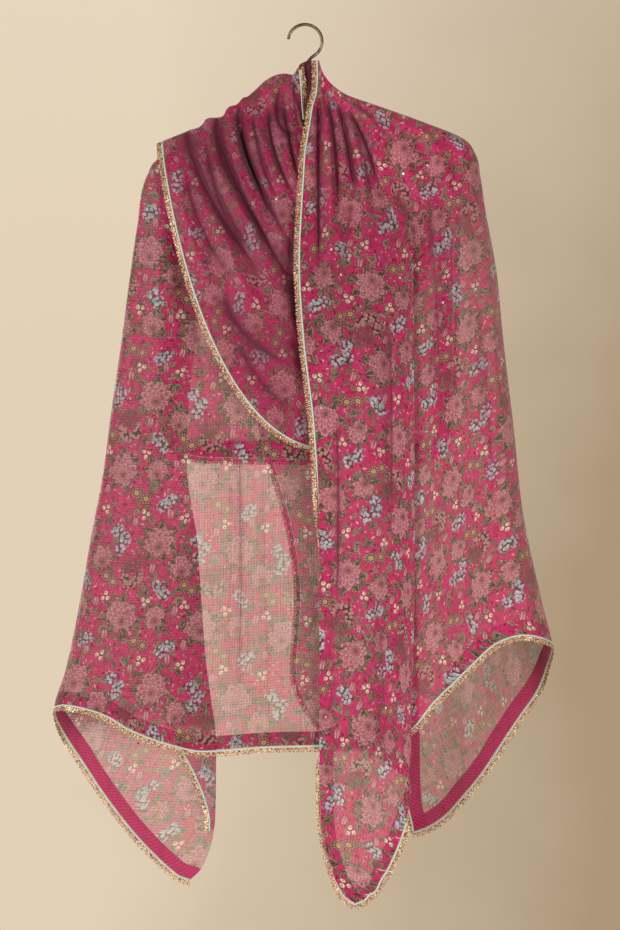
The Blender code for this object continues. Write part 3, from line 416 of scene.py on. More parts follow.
def crease_relief(creases, x, drop):
    """The sum of troughs depth * exp(-sqrt(d^2 / width^2 + 0.1)) about bends drawn
    on the front, d being the distance to the bend, faded at both its ends."""
    relief = np.zeros_like(x)
    t = np.linspace(0, 1, 25)
    for x0, d0, x1, d1, x2, d2, width, depth in creases:
        bx = x0 * (1 - t) ** 2 + (4 * x1 - x0 - x2) * t * (1 - t) + x2 * t * t
        bd = d0 * (1 - t) ** 2 + (4 * d1 - d0 - d2) * t * (1 - t) + d2 * t * t
        best = np.full(x.shape, np.inf)
        place = np.zeros_like(x)
        for k in range(len(t) - 1):
            ex, ed = bx[k + 1] - bx[k], bd[k + 1] - bd[k]
            s = np.clip(((x - bx[k]) * ex + (drop - bd[k]) * ed) / (ex * ex + ed * ed),
                        0, 1)
            away = (x - bx[k] - s * ex) ** 2 + (drop - bd[k] - s * ed) ** 2
            nearer = away < best
            best = np.where(nearer, away, best)
            place = np.where(nearer, t[k] + s * (t[1] - t[0]), place)
        ends = smooth_step(place / 0.16) * smooth_step((1 - place) / 0.34)
        tent = np.exp(0.45 - 1.42 * np.sqrt(best / width ** 2 + 0.1))
        relief += depth * ends * tent
    return relief


# ---------------------------------------------------------- stretches of cloth

def right_value(name, drop):
    return column(RIGHT_COLUMNS, RIGHT_SECTIONS, name, drop)


def left_value(name, drop):
    return column(LEFT_COLUMNS, LEFT_SECTIONS, name, drop)


def right_front(share, level):
    """From the front edge to the side: straight, one double-back pleat of the form
    s * exp(-s^2 / 2), then round the side; folds and creases are added to y."""
    top = RIGHT_SECTIONS[0][0]
    hem = column(*RIGHT_FRONT_HEM, "drop", share)
    drop = top + level * (hem - top)
    edge_x = right_value("edge_x", drop)
    side_x = right_value("side_x", drop)
    front_y = right_value("front_y", drop)
    mid_y = 0.5 * (front_y + right_value("back_y", drop))
    tuck = right_value("tuck", drop)
    run = (side_x - edge_x) * 2.0 / (2.0 - RIGHT_SIDE_ROUND)
    crest = (right_value("tuck_x", drop) - edge_x) / run
    middle = crest + RIGHT_TUCK_HALF - 0.5 * tuck
    middle = RIGHT_TUCK_SHARE + ((middle - RIGHT_TUCK_SHARE)
                                 * smooth_step((drop - 150) / 150))
    inside = share * middle / RIGHT_TUCK_SHARE
    outside = 1 - (1 - share) * (1 - middle) / (1 - RIGHT_TUCK_SHARE)
    s = (share - RIGHT_TUCK_SHARE) / RIGHT_TUCK_HALF
    double_back = -s * np.exp(0.5 * (1 - s * s))
    gone = np.where(s < 0, inside, outside) + 0.5 * tuck * double_back
    along, depth = round_over(gone, RIGHT_SIDE_ROUND)
    behind = smooth_step(tuck / 0.05) * RIGHT_TUCK_SPACING * (1 + np.tanh(0.6 * s))
    behind = behind * (1 - smooth_step((share - 0.45) / 0.4))
    x = edge_x + (side_x - edge_x) * along
    y = mid_y + (front_y - mid_y) * depth + behind
    y = y + right_value("curl", drop) * np.exp(-(share / 0.07) ** 2)
    y = y - fold_relief(RIGHT_FRONT_FOLDS, share, drop) * depth
    y = y + crease_relief(RIGHT_CREASES, x, drop) * depth
    return x, y, drop


def back_of(value, sections, hem_table, folds, share, level):
    """From a back edge to the side, round a quarter oval, with folds added to y."""
    top = sections[0][0]
    hem = column(*hem_table, "drop", share)
    drop = top + level * (hem - top)
    back_x = value("back_x", drop)
    side_x = value("side_x", drop)
    back_y = value("back_y", drop)
    mid_y = 0.5 * (value("front_y", drop) + back_y)
    along, depth = round_over(share, BACK_SIDE_ROUND)
    x = back_x + (side_x - back_x) * along
    y = mid_y + (back_y - mid_y) * depth
    y = y + fold_relief(folds, share, drop) * depth
    return x, y, drop


def right_back(share, level):
    """The right wrap's back, behind the yoke."""
    return back_of(right_value, RIGHT_SECTIONS, RIGHT_BACK_HEM, RIGHT_BACK_FOLDS,
                   share, level)


def left_front(share, level):
    """From the hidden right-hand fold to the side, round a quarter oval."""
    top = LEFT_SECTIONS[0][0]
    hem = column(*LEFT_FRONT_HEM, "drop", share)
    drop = top + level * (hem - top)
    fold_x = left_value("fold_x", drop)
    side_x = left_value("side_x", drop)
    front_y = left_value("front_y", drop)
    mid_y = 0.5 * (front_y + left_value("back_y", drop))
    along, depth = round_over(share, LEFT_SIDE_ROUND)
    x = fold_x + (side_x - fold_x) * along
    y = mid_y + (front_y - mid_y) * depth
    y = y + (LEFT_FOLD_BACK * np.exp(-(share / 0.02) ** 2)
             * smooth_step((drop - 150) / 80))
    y = y - fold_relief(LEFT_FRONT_FOLDS, share, drop) * depth
    y = y + crease_relief(LEFT_CREASES, x, drop) * depth
    return x, y, drop


def left_back(share, level):
    """The left wrap's back, from its tail's inner boundary."""
    return back_of(left_value, LEFT_SECTIONS, LEFT_BACK_HEM, LEFT_BACK_FOLDS,
                   share, level)


def left_inner(share, level):
    """The cloth folded in behind the front, from its free edge to the fold."""
    hem = column(*LEFT_INNER_HEM, "drop", share)
    drop = INNER_TOP + level * (hem - INNER_TOP)
    inner_x = left_value("inner_x", drop)
    fold_x = left_value("fold_x", drop)
    x = inner_x + (fold_x - inner_x) * share
    y = (left_value("front_y", drop) + INNER_BEHIND
         - INNER_MEET * np.exp(-((1 - share) / 0.05) ** 2))
    y = y + INNER_WAVE * np.sin(drop / 46.0 + 6 * share)
    return x, y, drop


def left_roll(share, level):
    """The tail's edge rolled forward from the boundary: a rise of the form
    1 - exp(-distance / 7)."""
    first = ROLL_SECTIONS[1][0][0]
    last = ROLL_SECTIONS[1][-1][0]
    drop = first + level * (last - first) + 0 * share
    width = column(*ROLL_SECTIONS, "width", drop)
    x = left_value("back_x", drop) - width * share
    y = left_value("back_y", drop) - ROLL_LIFT * (1 - np.exp(-width * share / 7))
    return x, y, drop


def ridge(share, side):
    x = column(RIDGE_COLUMNS, RIDGE, side + "_x", share)
    drop = column(RIDGE_COLUMNS, RIDGE, side + "_drop", share)
    return x, drop


def cubic(a, b, c, d, t):
    """a (1-t)^3 + 3 b (1-t)^2 t + 3 c (1-t) t^2 + d t^3."""
    r = 1 - t
    return a * r ** 3 + 3 * b * r * r * t + 3 * c * r * t * t + d * t ** 3


def cowl(across, along):
    """Cross lines hung from the left arm to the right arm: two cubics that meet at
    each line's low point; folds follow the lines and creases cross them."""
    lean = np.zeros_like(across)
    relief = np.zeros_like(across)
    for share, width, depth, drop_by in COWL_FOLDS[1]:
        bump = np.exp(-((across - share) / width) ** 2)
        relief += depth * bump
        lean += drop_by * bump
    value = {name: column(COWL_COLUMNS, COWL_LINES, name, across)
             for name in COWL_COLUMNS[1:]}
    left_x, left_drop = ridge(across, "left")
    right_x, right_drop = ridge(across, "right")
    low_x = value["low_x"]
    low_drop = value["low_drop"]
    t = np.clip(2 * along, 0, 1)
    x_left = cubic(left_x, left_x + COWL_LEFT_LEAN * value["left_pull"],
                   low_x - value["low_pull"], low_x, t)
    drop_left = cubic(left_drop, left_drop + value["left_pull"],
                      low_drop - COWL_LOW_DIP * value["low_pull"], low_drop, t)
    t = np.clip(2 * along - 1, 0, 1)
    x_right = cubic(low_x, low_x + COWL_LOW_REACH * value["low_pull"],
                    right_x - COWL_RIGHT_LEAN * value["right_pull"], right_x, t)
    drop_right = cubic(low_drop, low_drop - COWL_LOW_RISE * value["low_pull"],
                       right_drop + COWL_RIGHT_FALL * value["right_pull"],
                       right_drop, t)
    x = np.where(along < 0.5, x_left, x_right)
    drop = np.where(along < 0.5, drop_left, drop_right)
    belly = 1 - np.abs(2 * along - 1) ** COWL_BELLY
    fade = smooth_step(along / 0.10) * smooth_step((1 - along) / 0.10)
    drop = drop + lean * fade
    depth = column(*COWL_DEPTH, "y", drop)
    y = depth * belly + relief * fade * depth / COWL_FULL_DEPTH
    near = smooth_step((drop - 70) / 90) * (0.25 + 0.75 * fade)
    y = y + crease_relief(COWL_CREASES, x, drop) * near
    y = y - crease_relief(COWL_CRESTS, x, drop) * smooth_step((drop - 58) / 40)
    return x, y, drop


def yoke(share, level):
    """Hangs from the ridge to the hem: back * (1 - exp(-fall / 9)), behind."""
    left_x, left_drop = ridge(np.clip(1 - 2 * share, 0, 1), "left")
    right_x, right_drop = ridge(np.clip(2 * share - 1, 0, 1), "right")
    top_x = np.where(share < 0.5, left_x, right_x)
    top_drop = np.where(share < 0.5, left_drop, right_drop)
    hem_x = column(*YOKE_HEM, "x", share)
    hem_drop = column(*YOKE_HEM, "drop", share)
    x = top_x + (hem_x - top_x) * level
    drop = top_drop + (hem_drop - top_drop) * level
    back = column(*YOKE_DEPTH, "y", drop)
    fall = 1 - np.exp(-(drop - top_drop) / 9.0)
    at_neck = np.exp(-((top_x - 2) / 16.0) ** 2)
    y = back * np.maximum(fall, at_neck * smooth_step((drop - top_drop) / 6.0))
    y = y + fold_relief(YOKE_FOLDS, share, drop) * fall
    return x, y, drop


def neck_tuck(share, level):
    """A narrow fold of cloth before the hook's stem: two edges from a table, two
    soft waves across, leaning forward as it goes down."""
    top = 49 + 5 * (2 * share - 1) ** 2
    drop = top + level * (130 - top)
    left = column(*NECK_TUCK, "left_x", drop)
    right = column(*NECK_TUCK, "right_x", drop)
    x = left + (right - left) * share
    y = -5 - 3 * smooth_step((drop - 60) / 45) - 6.5 * smooth_step((drop - 100) / 30)
    y = y + 0.9 * np.cos(4 * np.pi * share + 0.02 * drop)
    return x, y, drop


# ---------------------------------------------------------------- cloth grids

def unit(vectors):
    return vectors / np.maximum(np.linalg.norm(vectors, axis=-1, keepdims=True), 1e-12)


def grid_of(shape, shares, levels):
    """Points (levels, shares, 3) of a stretch, in millimetres, z up."""
    across, down = np.meshgrid(np.asarray(shares, float), np.asarray(levels, float))
    x, y, drop = shape(across, down)
    return np.stack((x, y, -drop), axis=-1)


def even(count):
    """Even shares from 0 to 1."""
    return np.linspace(0.0, 1.0, count)


def crowded(count, centre, half, weight):
    """Shares from 0 to 1, closer together about a centre: the running sum of
    1 + weight * exp(-(distance / half)^2), read backwards."""
    shares = even(2001)
    dense = 1 + weight * np.exp(-((shares - centre) / half) ** 2)
    gone = np.concatenate(([0], np.cumsum(0.5 * (dense[1:] + dense[:-1]))))
    return np.interp(even(count), gone / gone[-1], shares)


def grid_normals(points):
    """Unit normals from the central differences of rows and columns."""
    return unit(np.cross(np.gradient(points, axis=0), np.gradient(points, axis=1)))


def corners_of(rows, columns, flip=False):
    """The four corners of every cell of a grid whose points run row by row."""
    at = np.arange(rows * columns).reshape(rows, columns)
    ring = (at[:-1, :-1], at[1:, :-1], at[1:, 1:], at[:-1, 1:])
    return np.stack(ring[::-1] if flip else ring, axis=-1).reshape(-1, 4)


def arc_across(points):
    """The distance along each row from its first point."""
    step = np.linalg.norm(np.diff(points, axis=1), axis=-1)
    return np.concatenate((np.zeros((len(points), 1)), np.cumsum(step, axis=1)), axis=1)


def make_mesh(name, points, corners, finish, prints=None, triangles=None, smooth=True,
              gather_and_shade=None, dense=None):
    """Puts points in millimetres and four-cornered faces into one mesh object."""
    points = np.asarray(points, float).reshape(-1, 3) * MM
    corners = np.asarray(corners, np.int32).reshape(-1, 4)
    loops = corners.reshape(-1)
    starts = np.arange(len(corners), dtype=np.int32) * 4
    if triangles is not None and len(triangles):
        starts = np.concatenate((starts, len(loops)
                                 + 3 * np.arange(len(triangles), dtype=np.int32)))
        loops = np.concatenate((loops, np.asarray(triangles, np.int32).reshape(-1)))
    mesh = bpy.data.meshes.new(name)
    mesh.vertices.add(len(points))
    mesh.vertices.foreach_set("co", points.astype(np.float32).reshape(-1))
    mesh.loops.add(len(loops))
    mesh.loops.foreach_set("vertex_index", loops)
    mesh.polygons.add(len(starts))
    mesh.polygons.foreach_set("loop_start", starts)
    mesh.update(calc_edges=True)
    mesh.validate()
    mesh.polygons.foreach_set("use_smooth", np.full(len(mesh.polygons), smooth))
    if prints is not None:
        layer = mesh.uv_layers.new(name="print")
        layer.data.foreach_set("uv", (np.asarray(prints, float).reshape(-1, 2)
                                      * MM).astype(np.float32).reshape(-1))
    for layer_name, values in (("gather_and_shade", gather_and_shade), ("dense", dense)):
        if values is not None:
            layer = mesh.attributes.new(layer_name, "FLOAT", "POINT")
            layer.data.foreach_set("value", np.asarray(values, np.float32).reshape(-1))
    mesh.materials.append(finish)
    made = bpy.data.objects.new(name, mesh)
    bpy.context.scene.collection.objects.link(made)
    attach(made, "root")
    return made


def crease_gather_and_shade(points, creases):
    """How closely the cloth is gathered in the troughs drawn on it, which also sets
    painted shade there: a narrow core on a wide, faint bed."""
    deep = [row[:6] + (row[6] * width, row[7] * share / 8.0) for row in creases
            for width, share in ((0.28, 0.62), (1.5, 0.34)) if row[7] > 0]
    return np.clip(crease_relief(deep, points[..., 0], -points[..., 2]), 0, 1.15)


def near_neck(points, full, gone):
    """1 above one drop, 0 below another: cloth bunched together at the hook, and where
    it feeds the gather, painted shade there.
    """
    return smooth_step((gone + points[..., 2]) / (gone - full))


def turned(u, v, degrees, shift=(0.0, 0.0)):
    """Print coordinates turned about the origin, then moved."""
    c, s = math.cos(math.radians(degrees)), math.sin(math.radians(degrees))
    return np.stack((c * u - s * v + shift[0], s * u + c * v + shift[1]), axis=-1)


def flat_print(points, degrees, shift=(0.0, 0.0), middle=0.0):
    """Distance along each row, from the column at middle, against height."""
    along = arc_across(points)
    k = int(round(middle * (points.shape[1] - 1)))
    return turned(along - along[:, k:k + 1], points[..., 2], degrees, shift)


# ---------------------------------------------------------------------- edges

class Edge:
    """A run along a free edge: its points, the way out of the cloth, and its face."""

    def __init__(self, line, out, face):
        self.line, self.out, self.face = line, out, face

    def then(self, other):
        return Edge(np.concatenate((self.line, other.line[1:])),
                    np.concatenate((self.out, other.out[1:])),
                    np.concatenate((self.face, other.face[1:])))

    def back(self):
        return Edge(self.line[::-1], self.out[::-1], self.face[::-1])

    def cut(self, first, last):
        return Edge(self.line[first:last], self.out[first:last], self.face[first:last])

    def rolled(self, angle, under, inward):
        """The run turned back about its own line and carried behind the cloth."""
        cos, sin = np.cos(angle)[:, None], np.sin(angle)[:, None]
        line = self.line - under[:, None] * self.face - inward[:, None] * self.out
        return Edge(line, cos * self.out - sin * self.face,
                    cos * self.face + sin * self.out)

    def stepped(self, pitch, ease=4):
        """The run again with points a pitch apart, its directions averaged over a
        few points so that the trim turns evenly round a corner."""
        gone = np.concatenate(([0], np.cumsum(
            np.linalg.norm(np.diff(self.line, axis=0), axis=1))))
        count = max(3, int(round(gone[-1] / pitch)) + 1)
        at = np.linspace(0, gone[-1], count)
        line, out, face = (np.stack([np.interp(at, gone, row[:, i]) for i in range(3)],
                                    axis=1) for row in (self.line, self.out, self.face))
        for _ in range(ease):
            for row in (out, face):
                row[1:-1] = 0.25 * row[:-2] + 0.5 * row[1:-1] + 0.25 * row[2:]
        along = unit(np.gradient(line, axis=0))
        out = unit(out - along * np.sum(out * along, axis=1, keepdims=True))
        face = unit(face - along * np.sum(face * along, axis=1, keepdims=True))
        face = unit(face - out * np.sum(face * out, axis=1, keepdims=True))
        return Edge(line, out, face), along


def edge_of(points, side, flip=False):
    """One border of a grid, with the way out of the cloth and the outer face."""
    face = grid_normals(points) * (-1 if flip else 1)
    edge, inner = {"first": (np.s_[:, 0], np.s_[:, 2]),
                   "last": (np.s_[:, -1], np.s_[:, -3]),
                   "hem": (np.s_[-1], np.s_[-3])}[side]
    along = unit(np.gradient(points[edge], axis=0))
    out = points[edge] - points[inner]
    out = unit(out - along * np.sum(out * along, axis=1, keepdims=True))
    return Edge(points[edge], out, face[edge])


def tube(line, side, up, across, tall, sides=8):
    """An oval profile carried along a line, closed at both ends by a fan."""
    angle = (np.arange(sides) * 2 * np.pi / sides)[:, None]
    ring = (line[:, None] + across * np.cos(angle) * side[:, None]
            + tall * np.sin(angle) * up[:, None])
    points = np.concatenate((ring.reshape(-1, 3), line[:1], line[-1:]))
    count = len(line)
    at = np.arange(count * sides).reshape(count, sides)
    after = np.roll(at, -1, axis=1)
    corners = np.stack((at[:-1], after[:-1], after[1:], at[1:]), axis=-1).reshape(-1, 4)
    start, end = count * sides, count * sides + 1
    fans = np.concatenate((
        np.stack((np.full(sides, start), after[0], at[0]), axis=-1),
        np.stack((np.full(sides, end), at[-1], after[-1]), axis=-1)))
    return points, corners, fans


def facing_inside(points, side, flip=False, first=0, last=None, off=FACING_OFF):
    """A band of plain cloth on the reverse, square to the edge: points read from
    the cloth's own rows or columns at even distances in, moved off its back."""
    face = grid_normals(points) * (-1 if flip else 1)
    if side == "hem":
        points, face = points[::-1].swapaxes(0, 1), face[::-1].swapaxes(0, 1)
    elif side == "last":
        points, face = points[:, ::-1], face[:, ::-1]
    points, face = points[first:last], face[first:last]
    gone = arc_across(points)
    along = unit(np.gradient(points[:, 0], axis=0))
    inward = unit(points[:, 2] - points[:, 0])
    square = np.linalg.norm(np.cross(along, inward), axis=1)
    reach = np.linspace(0.2, FACING_WIDTH, 7)
    wanted = reach[None] / np.clip(square, 0.42, 1)[:, None]
    band = np.empty((len(points), len(reach), 3))
    for row in range(len(points)):
        for axis in range(3):
            band[row, :, axis] = np.interp(wanted[row], gone[row],
                                           points[row, :, axis]
                                           - off * face[row, :, axis])
    return band, np.sum(grid_normals(band)[:, 3] * face[:, 3]) > 0


def fringe_locks(edge, along, seed):
    """A close row of short leaning thread loops: each is a square prism of three
    rings, its tip drawn sideways and down by small seeded amounts."""
    rng = np.random.default_rng(seed)
    n = len(edge.line)
    lean = 0.8 + 0.28 * rng.standard_normal(n)
    reach = FRINGE_REACH + 0.28 * rng.standard_normal(n)
    lift = 0.25 * rng.standard_normal(n)
    half = 0.64 + 0.08 * rng.standard_normal(n)
    rings = []
    for share, wide, tall in ((0.0, 1.0, 0.75), (0.62, 1.25, 0.85), (1.0, 0.75, 0.6)):
        centre = (edge.line + edge.out * (FRINGE_START + (reach - FRINGE_START)
                                          * share)[:, None]
                  + along * (lean * 1.7 * share)[:, None]
                  + edge.face * (lift * share)[:, None])
        for a, b in ((-1, -1), (1, -1), (1, 1), (-1, 1)):
            rings.append(centre + along * (a * half * wide)[:, None]
                         + edge.face * (b * 0.55 * tall))
    points = np.stack(rings, axis=1)
    base = 12 * np.arange(n)[:, None, None]
    ring = np.arange(4)
    after = np.roll(ring, -1)
    sides = np.stack((ring, after, after + 4, ring + 4), axis=-1)
    block = np.concatenate((sides, sides + 4, [[3, 2, 1, 0]], [[8, 9, 10, 11]]))
    corners = (base + block[None]).reshape(-1, 4)
    return points.reshape(-1, 3), corners


def joined(pieces):
    """Several (points, corners, triangles) sets as one."""
    points, corners, triangles, first = [], [], [], 0
    for piece in pieces:
        points.append(np.asarray(piece[0]).reshape(-1, 3))
        corners.append(piece[1] + first)
        if len(piece) > 2:
            triangles.append(piece[2] + first)
        first += len(points[-1])
    return (np.concatenate(points), np.concatenate(corners),
            np.concatenate(triangles) if triangles else None)


def outward(obj):
    """Turns a closed piece's faces to the outside."""
    bm = bmesh.new()
    bm.from_mesh(obj.data)
    bmesh.ops.recalc_face_normals(bm, faces=bm.faces)
    bm.to_mesh(obj.data)
    bm.free()
    return obj


def trim(place, runs, cord, thread, seed, thread_runs=None):
    """The round piping and the fringe with its braid, along one or more runs; the
    fringe takes thread_runs where it lies another way from the piping."""
    pipes, braids = [], []
    for run in runs:
        edge, _ = run.stepped(TRIM_STEP)
        pipes.append(tube(edge.line + PIPING_OUT * edge.out, edge.out, edge.face,
                          PIPING_RADIUS, PIPING_RADIUS))
    for k, run in enumerate(thread_runs or runs):
        edge, _ = run.stepped(TRIM_STEP)
        braids.append(tube(edge.line + BRAID_OUT * edge.out, edge.out, edge.face,
                           BRAID_HALF_WIDTH, BRAID_HALF_HEIGHT, sides=6))
        edge, along = run.stepped(FRINGE_PITCH)
        braids.append(fringe_locks(edge, along, seed + k))
    points, corners, fans = joined(pipes)
    piping = outward(make_mesh("cord_" + place, points, corners, cord, triangles=fans))
    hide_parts("piping_" + place)
    points, corners, fans = joined(braids)
    fringe = outward(make_mesh("thread_" + place, points, corners, thread,
                               triangles=fans, smooth=False))
    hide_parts("fringe_" + place)


# -------------------------------------------------------------- finishes: nodes

class Strand:
    """One socket in a finish's nodes; arithmetic on it adds Math nodes."""

    def __init__(self, tree, socket=None):
        self.tree, self.socket = tree, socket

    def node(self, kind, settings=None, inputs=None, output=0):
        """Any node: its settings first, then the values or links of its sockets."""
        made = self.tree.nodes.new(kind)
        for name, value in (settings or {}).items():
            if name == "stops":
                ramp = made.color_ramp
                while len(ramp.elements) > 1:
                    ramp.elements.remove(ramp.elements[-1])
                for k, (at, colour) in enumerate(value):
                    stop = ramp.elements[0] if k == 0 else ramp.elements.new(at)
                    stop.position, stop.color = at, (*colour, 1.0)
            else:
                setattr(made, name, value)
        for place, value in (inputs or {}).items():
            if isinstance(value, Strand):
                self.tree.links.new(value.socket, made.inputs[place])
            else:
                made.inputs[place].default_value = value
        return Strand(self.tree, made.outputs[output])

    def math(self, operation, *values):
        return self.node("ShaderNodeMath", {"operation": operation},
                         dict(enumerate(values)))

    def __add__(self, other):
        return self.math("ADD", self, other)

    def __mul__(self, other):
        return self.math("MULTIPLY", self, other)

    __radd__, __rmul__ = __add__, __mul__

    def __sub__(self, other):
        return self.math("SUBTRACT", self, other)

    def __rsub__(self, other):
        return self.math("SUBTRACT", other, self)

    def __truediv__(self, other):
        return self.math("DIVIDE", self, other)

    def __pow__(self, other):
        return self.math("POWER", self, other)

    def __abs__(self):
        return self.math("ABSOLUTE", self)

    def least(self, other):
        return self.math("MINIMUM", self, other)

    def most(self, other):
        return self.math("MAXIMUM", self, other)

    def below(self, other):
        return self.math("LESS_THAN", self, other)

    def sine(self):
        return self.math("SINE", self)

    def cosine(self):
        return self.math("COSINE", self)

    def root(self):
        return self.math("SQRT", self)

    def whole(self):
        return self.math("FLOOR", self)

    def part(self):
        return self.math("FRACT", self)

    def rise(self, low, high):
        """0 at low, 1 at high, even between, and held outside them."""
        return self.node("ShaderNodeMapRange", {}, {0: self, 1: low, 2: high})

    def vector(self, operation, *values, output=0):
        return self.node("ShaderNodeVectorMath", {"operation": operation},
                         dict(enumerate((self,) + values)), output)

    def length(self):
        return self.vector("LENGTH", output=1)

    def split(self):
        node = self.node("ShaderNodeSeparateXYZ", {}, {0: self}).socket.node
        return [Strand(self.tree, socket) for socket in node.outputs]

    def joined(self, x, y, z=0.0):
        return self.node("ShaderNodeCombineXYZ", {}, {0: x, 1: y, 2: z})

    def blend(self, other, share):
        """This colour with another laid over it by a share."""
        if isinstance(other, tuple):
            other = (*other, 1.0)
        return self.node("ShaderNodeMix", {"data_type": "RGBA"},
                         {0: share, 6: self, 7: other}, 2)

    def swapped(self, other, share):
        """This vector, or another where share is 1."""
        return self.node("ShaderNodeMix", {"data_type": "VECTOR"},
                         {0: share, 4: self, 5: other}, 1)

    def colour(self, value):
        return self.node("ShaderNodeMix", {"data_type": "RGBA"},
                         {0: 0.0, 6: (*value, 1.0), 7: (*value, 1.0)}, 2)

    def bump(self, strength, distance):
        """Normals bent by this height."""
        return self.node("ShaderNodeBump", {}, {"Strength": strength,
                                                "Distance": distance, "Height": self})

    def noise(self, scale, detail=2.0, rough=0.5, output=0, stretch=None):
        at = self.vector("MULTIPLY", stretch) if stretch else self
        return self.node("ShaderNodeTexNoise", {"noise_dimensions": "3D"},
                         {"Vector": at, "Scale": scale, "Detail": detail,
                          "Roughness": rough}, output)

    def cells(self, size, mess=1.0):
        """Scattered places about a size apart: distance, colour, and place."""
        node = self.node("ShaderNodeTexVoronoi", {"voronoi_dimensions": "2D"},
                         {"Vector": self, "Scale": 1.0 / size,
                          "Randomness": mess}).socket.node
        return (Strand(self.tree, node.outputs["Distance"]),
                Strand(self.tree, node.outputs["Color"]),
                Strand(self.tree, node.outputs["Position"]))


def finish_of(name, **constants):
    """A new principled finish: its first strand, its shader and the material."""
    made = bpy.data.materials.new(name)
    made.use_nodes = True
    made.use_transparent_shadow = False
    shader = made.node_tree.nodes["Principled BSDF"]
    for place, value in constants.items():
        shader.inputs[place.replace("_", " ")].default_value = value
    return made, Strand(made.node_tree), shader


def in_millimetres(place):
    """Coordinates in metres, scaled to millimetres."""
    scaled = place.vector("SCALE")
    scaled.socket.node.inputs["Scale"].default_value = 1 / MM
    return scaled


def wire(strand, shader, **links):
    for place, value in links.items():
        strand.tree.links.new(value.socket, shader.inputs[place.replace("_", " ")])


# ------------------------------------------------------------- finishes: print

# The printed repeat, in millimetres, upright. Each row is a place and a turn in
# turns of the circle; a dahlia turned by half a circle or more is a small one.
REPEAT = (116.0, 203.0)
REPEAT_STEP = 22.0
DAHLIAS = (("x", "y", "turn"), (
    (-27, 58, 0.0), (27, -40, 0.42), (-24, -44, 0.6), (56, 44, 0.8)))
CLUSTERS = (("x", "y", "turn"), (
    (24, 66, 0), (35, 79, 0), (31, 54, 0), (-35, -14, 0), (-27, -2, 0), (-44, -88, 0),
    (-34, -94, 0)))
BUNCHES = (("x", "y", "turn"), ((12, 14, 0.0),))
DAISIES = (("x", "y", "turn"), (
    (51, 18, 0), (40, 9, 0), (-51, 22, 0), (-8, -84, 0), (5, -76, 0)))
BERRIES = (("x", "y", "turn"), (
    (50, -11, 0.1), (-8, -22, 0.3), (-6, 99, 0.0), (52, -92, 0.2)))
BUDS = (("x", "y", "turn"), (
    (-44, 96, 0.1), (50, -66, -0.1), (8, 88, 0.0), (-52, -40, -0.08), (-18, 20, 0.12)))
WEAVE = 3.8
TWILL = 5.6
CORD_LAY = 2.6
FULL_TURN = 6.283
THIRD_TURN = 2.0944

# How solid the sheer cloth is: between threads, and what adds to it.
GROUND_ALPHA = 0.48
LINE_ALPHA = 0.18
SLUB_ALPHA = 0.30
GATHER_ALPHA = 0.30

GROUND = (0.50, 0.014, 0.112)
# Deep magenta of the print, also used as painted shade in folds and gathers.
DEEP_AND_FOLD_SHADE = (0.19, 0.003, 0.038)
# Near-black magenta: painted shade in the cores of folds and gathers.
SHADE = (0.055, 0.001, 0.014)
DUSK = (0.024, 0.010, 0.010)
OLIVE = (0.100, 0.078, 0.042)
SAGE = (0.36, 0.32, 0.20)
ROSE = (0.50, 0.185, 0.225)
BLUSH = (0.70, 0.41, 0.40)
WINE = (0.250, 0.028, 0.065)
STEEL = (0.25, 0.32, 0.38)
ICE = (0.50, 0.58, 0.60)
OCHRE = (0.50, 0.30, 0.13)
BROWN = (0.110, 0.045, 0.030)
CREAM = (0.82, 0.62, 0.48)
TAUPE = (0.42, 0.23, 0.20)


def nearest_motif(here, chart):
    """The way from the nearest place of a chart, its turn carried in z."""
    half = (REPEAT[0] / 2, REPEAT[1] / 2, 9.0)
    low = tuple(-value for value in half)
    best = distance = None
    for x, y, turn in chart[1]:
        way = here.vector("SUBTRACT",
                          (x, y - x * REPEAT_STEP / REPEAT[0], turn * 0.001))
        way = way.vector("WRAP", half, low)
        away = way.length()
        if best is None:
            best, distance = way, away
        else:
            best = best.swapped(way, away.below(distance))
            distance = distance.least(away)
    x, y, turn = best.split()
    y = y + x * (REPEAT_STEP / REPEAT[0])
    return x, y, turn * -1000.0


def scattered(here, size, mess=1.0):
    """Marks about a size apart, each turned by chance: the distances along and
    across the nearest one, and two more chances of its own."""
    _, tint, place = here.cells(size, mess)
    chance, g, b = tint.split()
    dx, dy, _ = here.vector("SUBTRACT", place).split()
    angle = chance * FULL_TURN
    c, s = angle.cosine(), angle.sine()
    return dx * c + dy * s, dy * c - dx * s, g, b


def polar(x, y, turn=None):
    """Distance in millimetres and angle in turns."""
    reach = (x * x + y * y).root()
    angle = x.math("ARCTAN2", y, x) * (1 / (2 * math.pi))
    return reach, (angle - turn if turn is not None else angle)


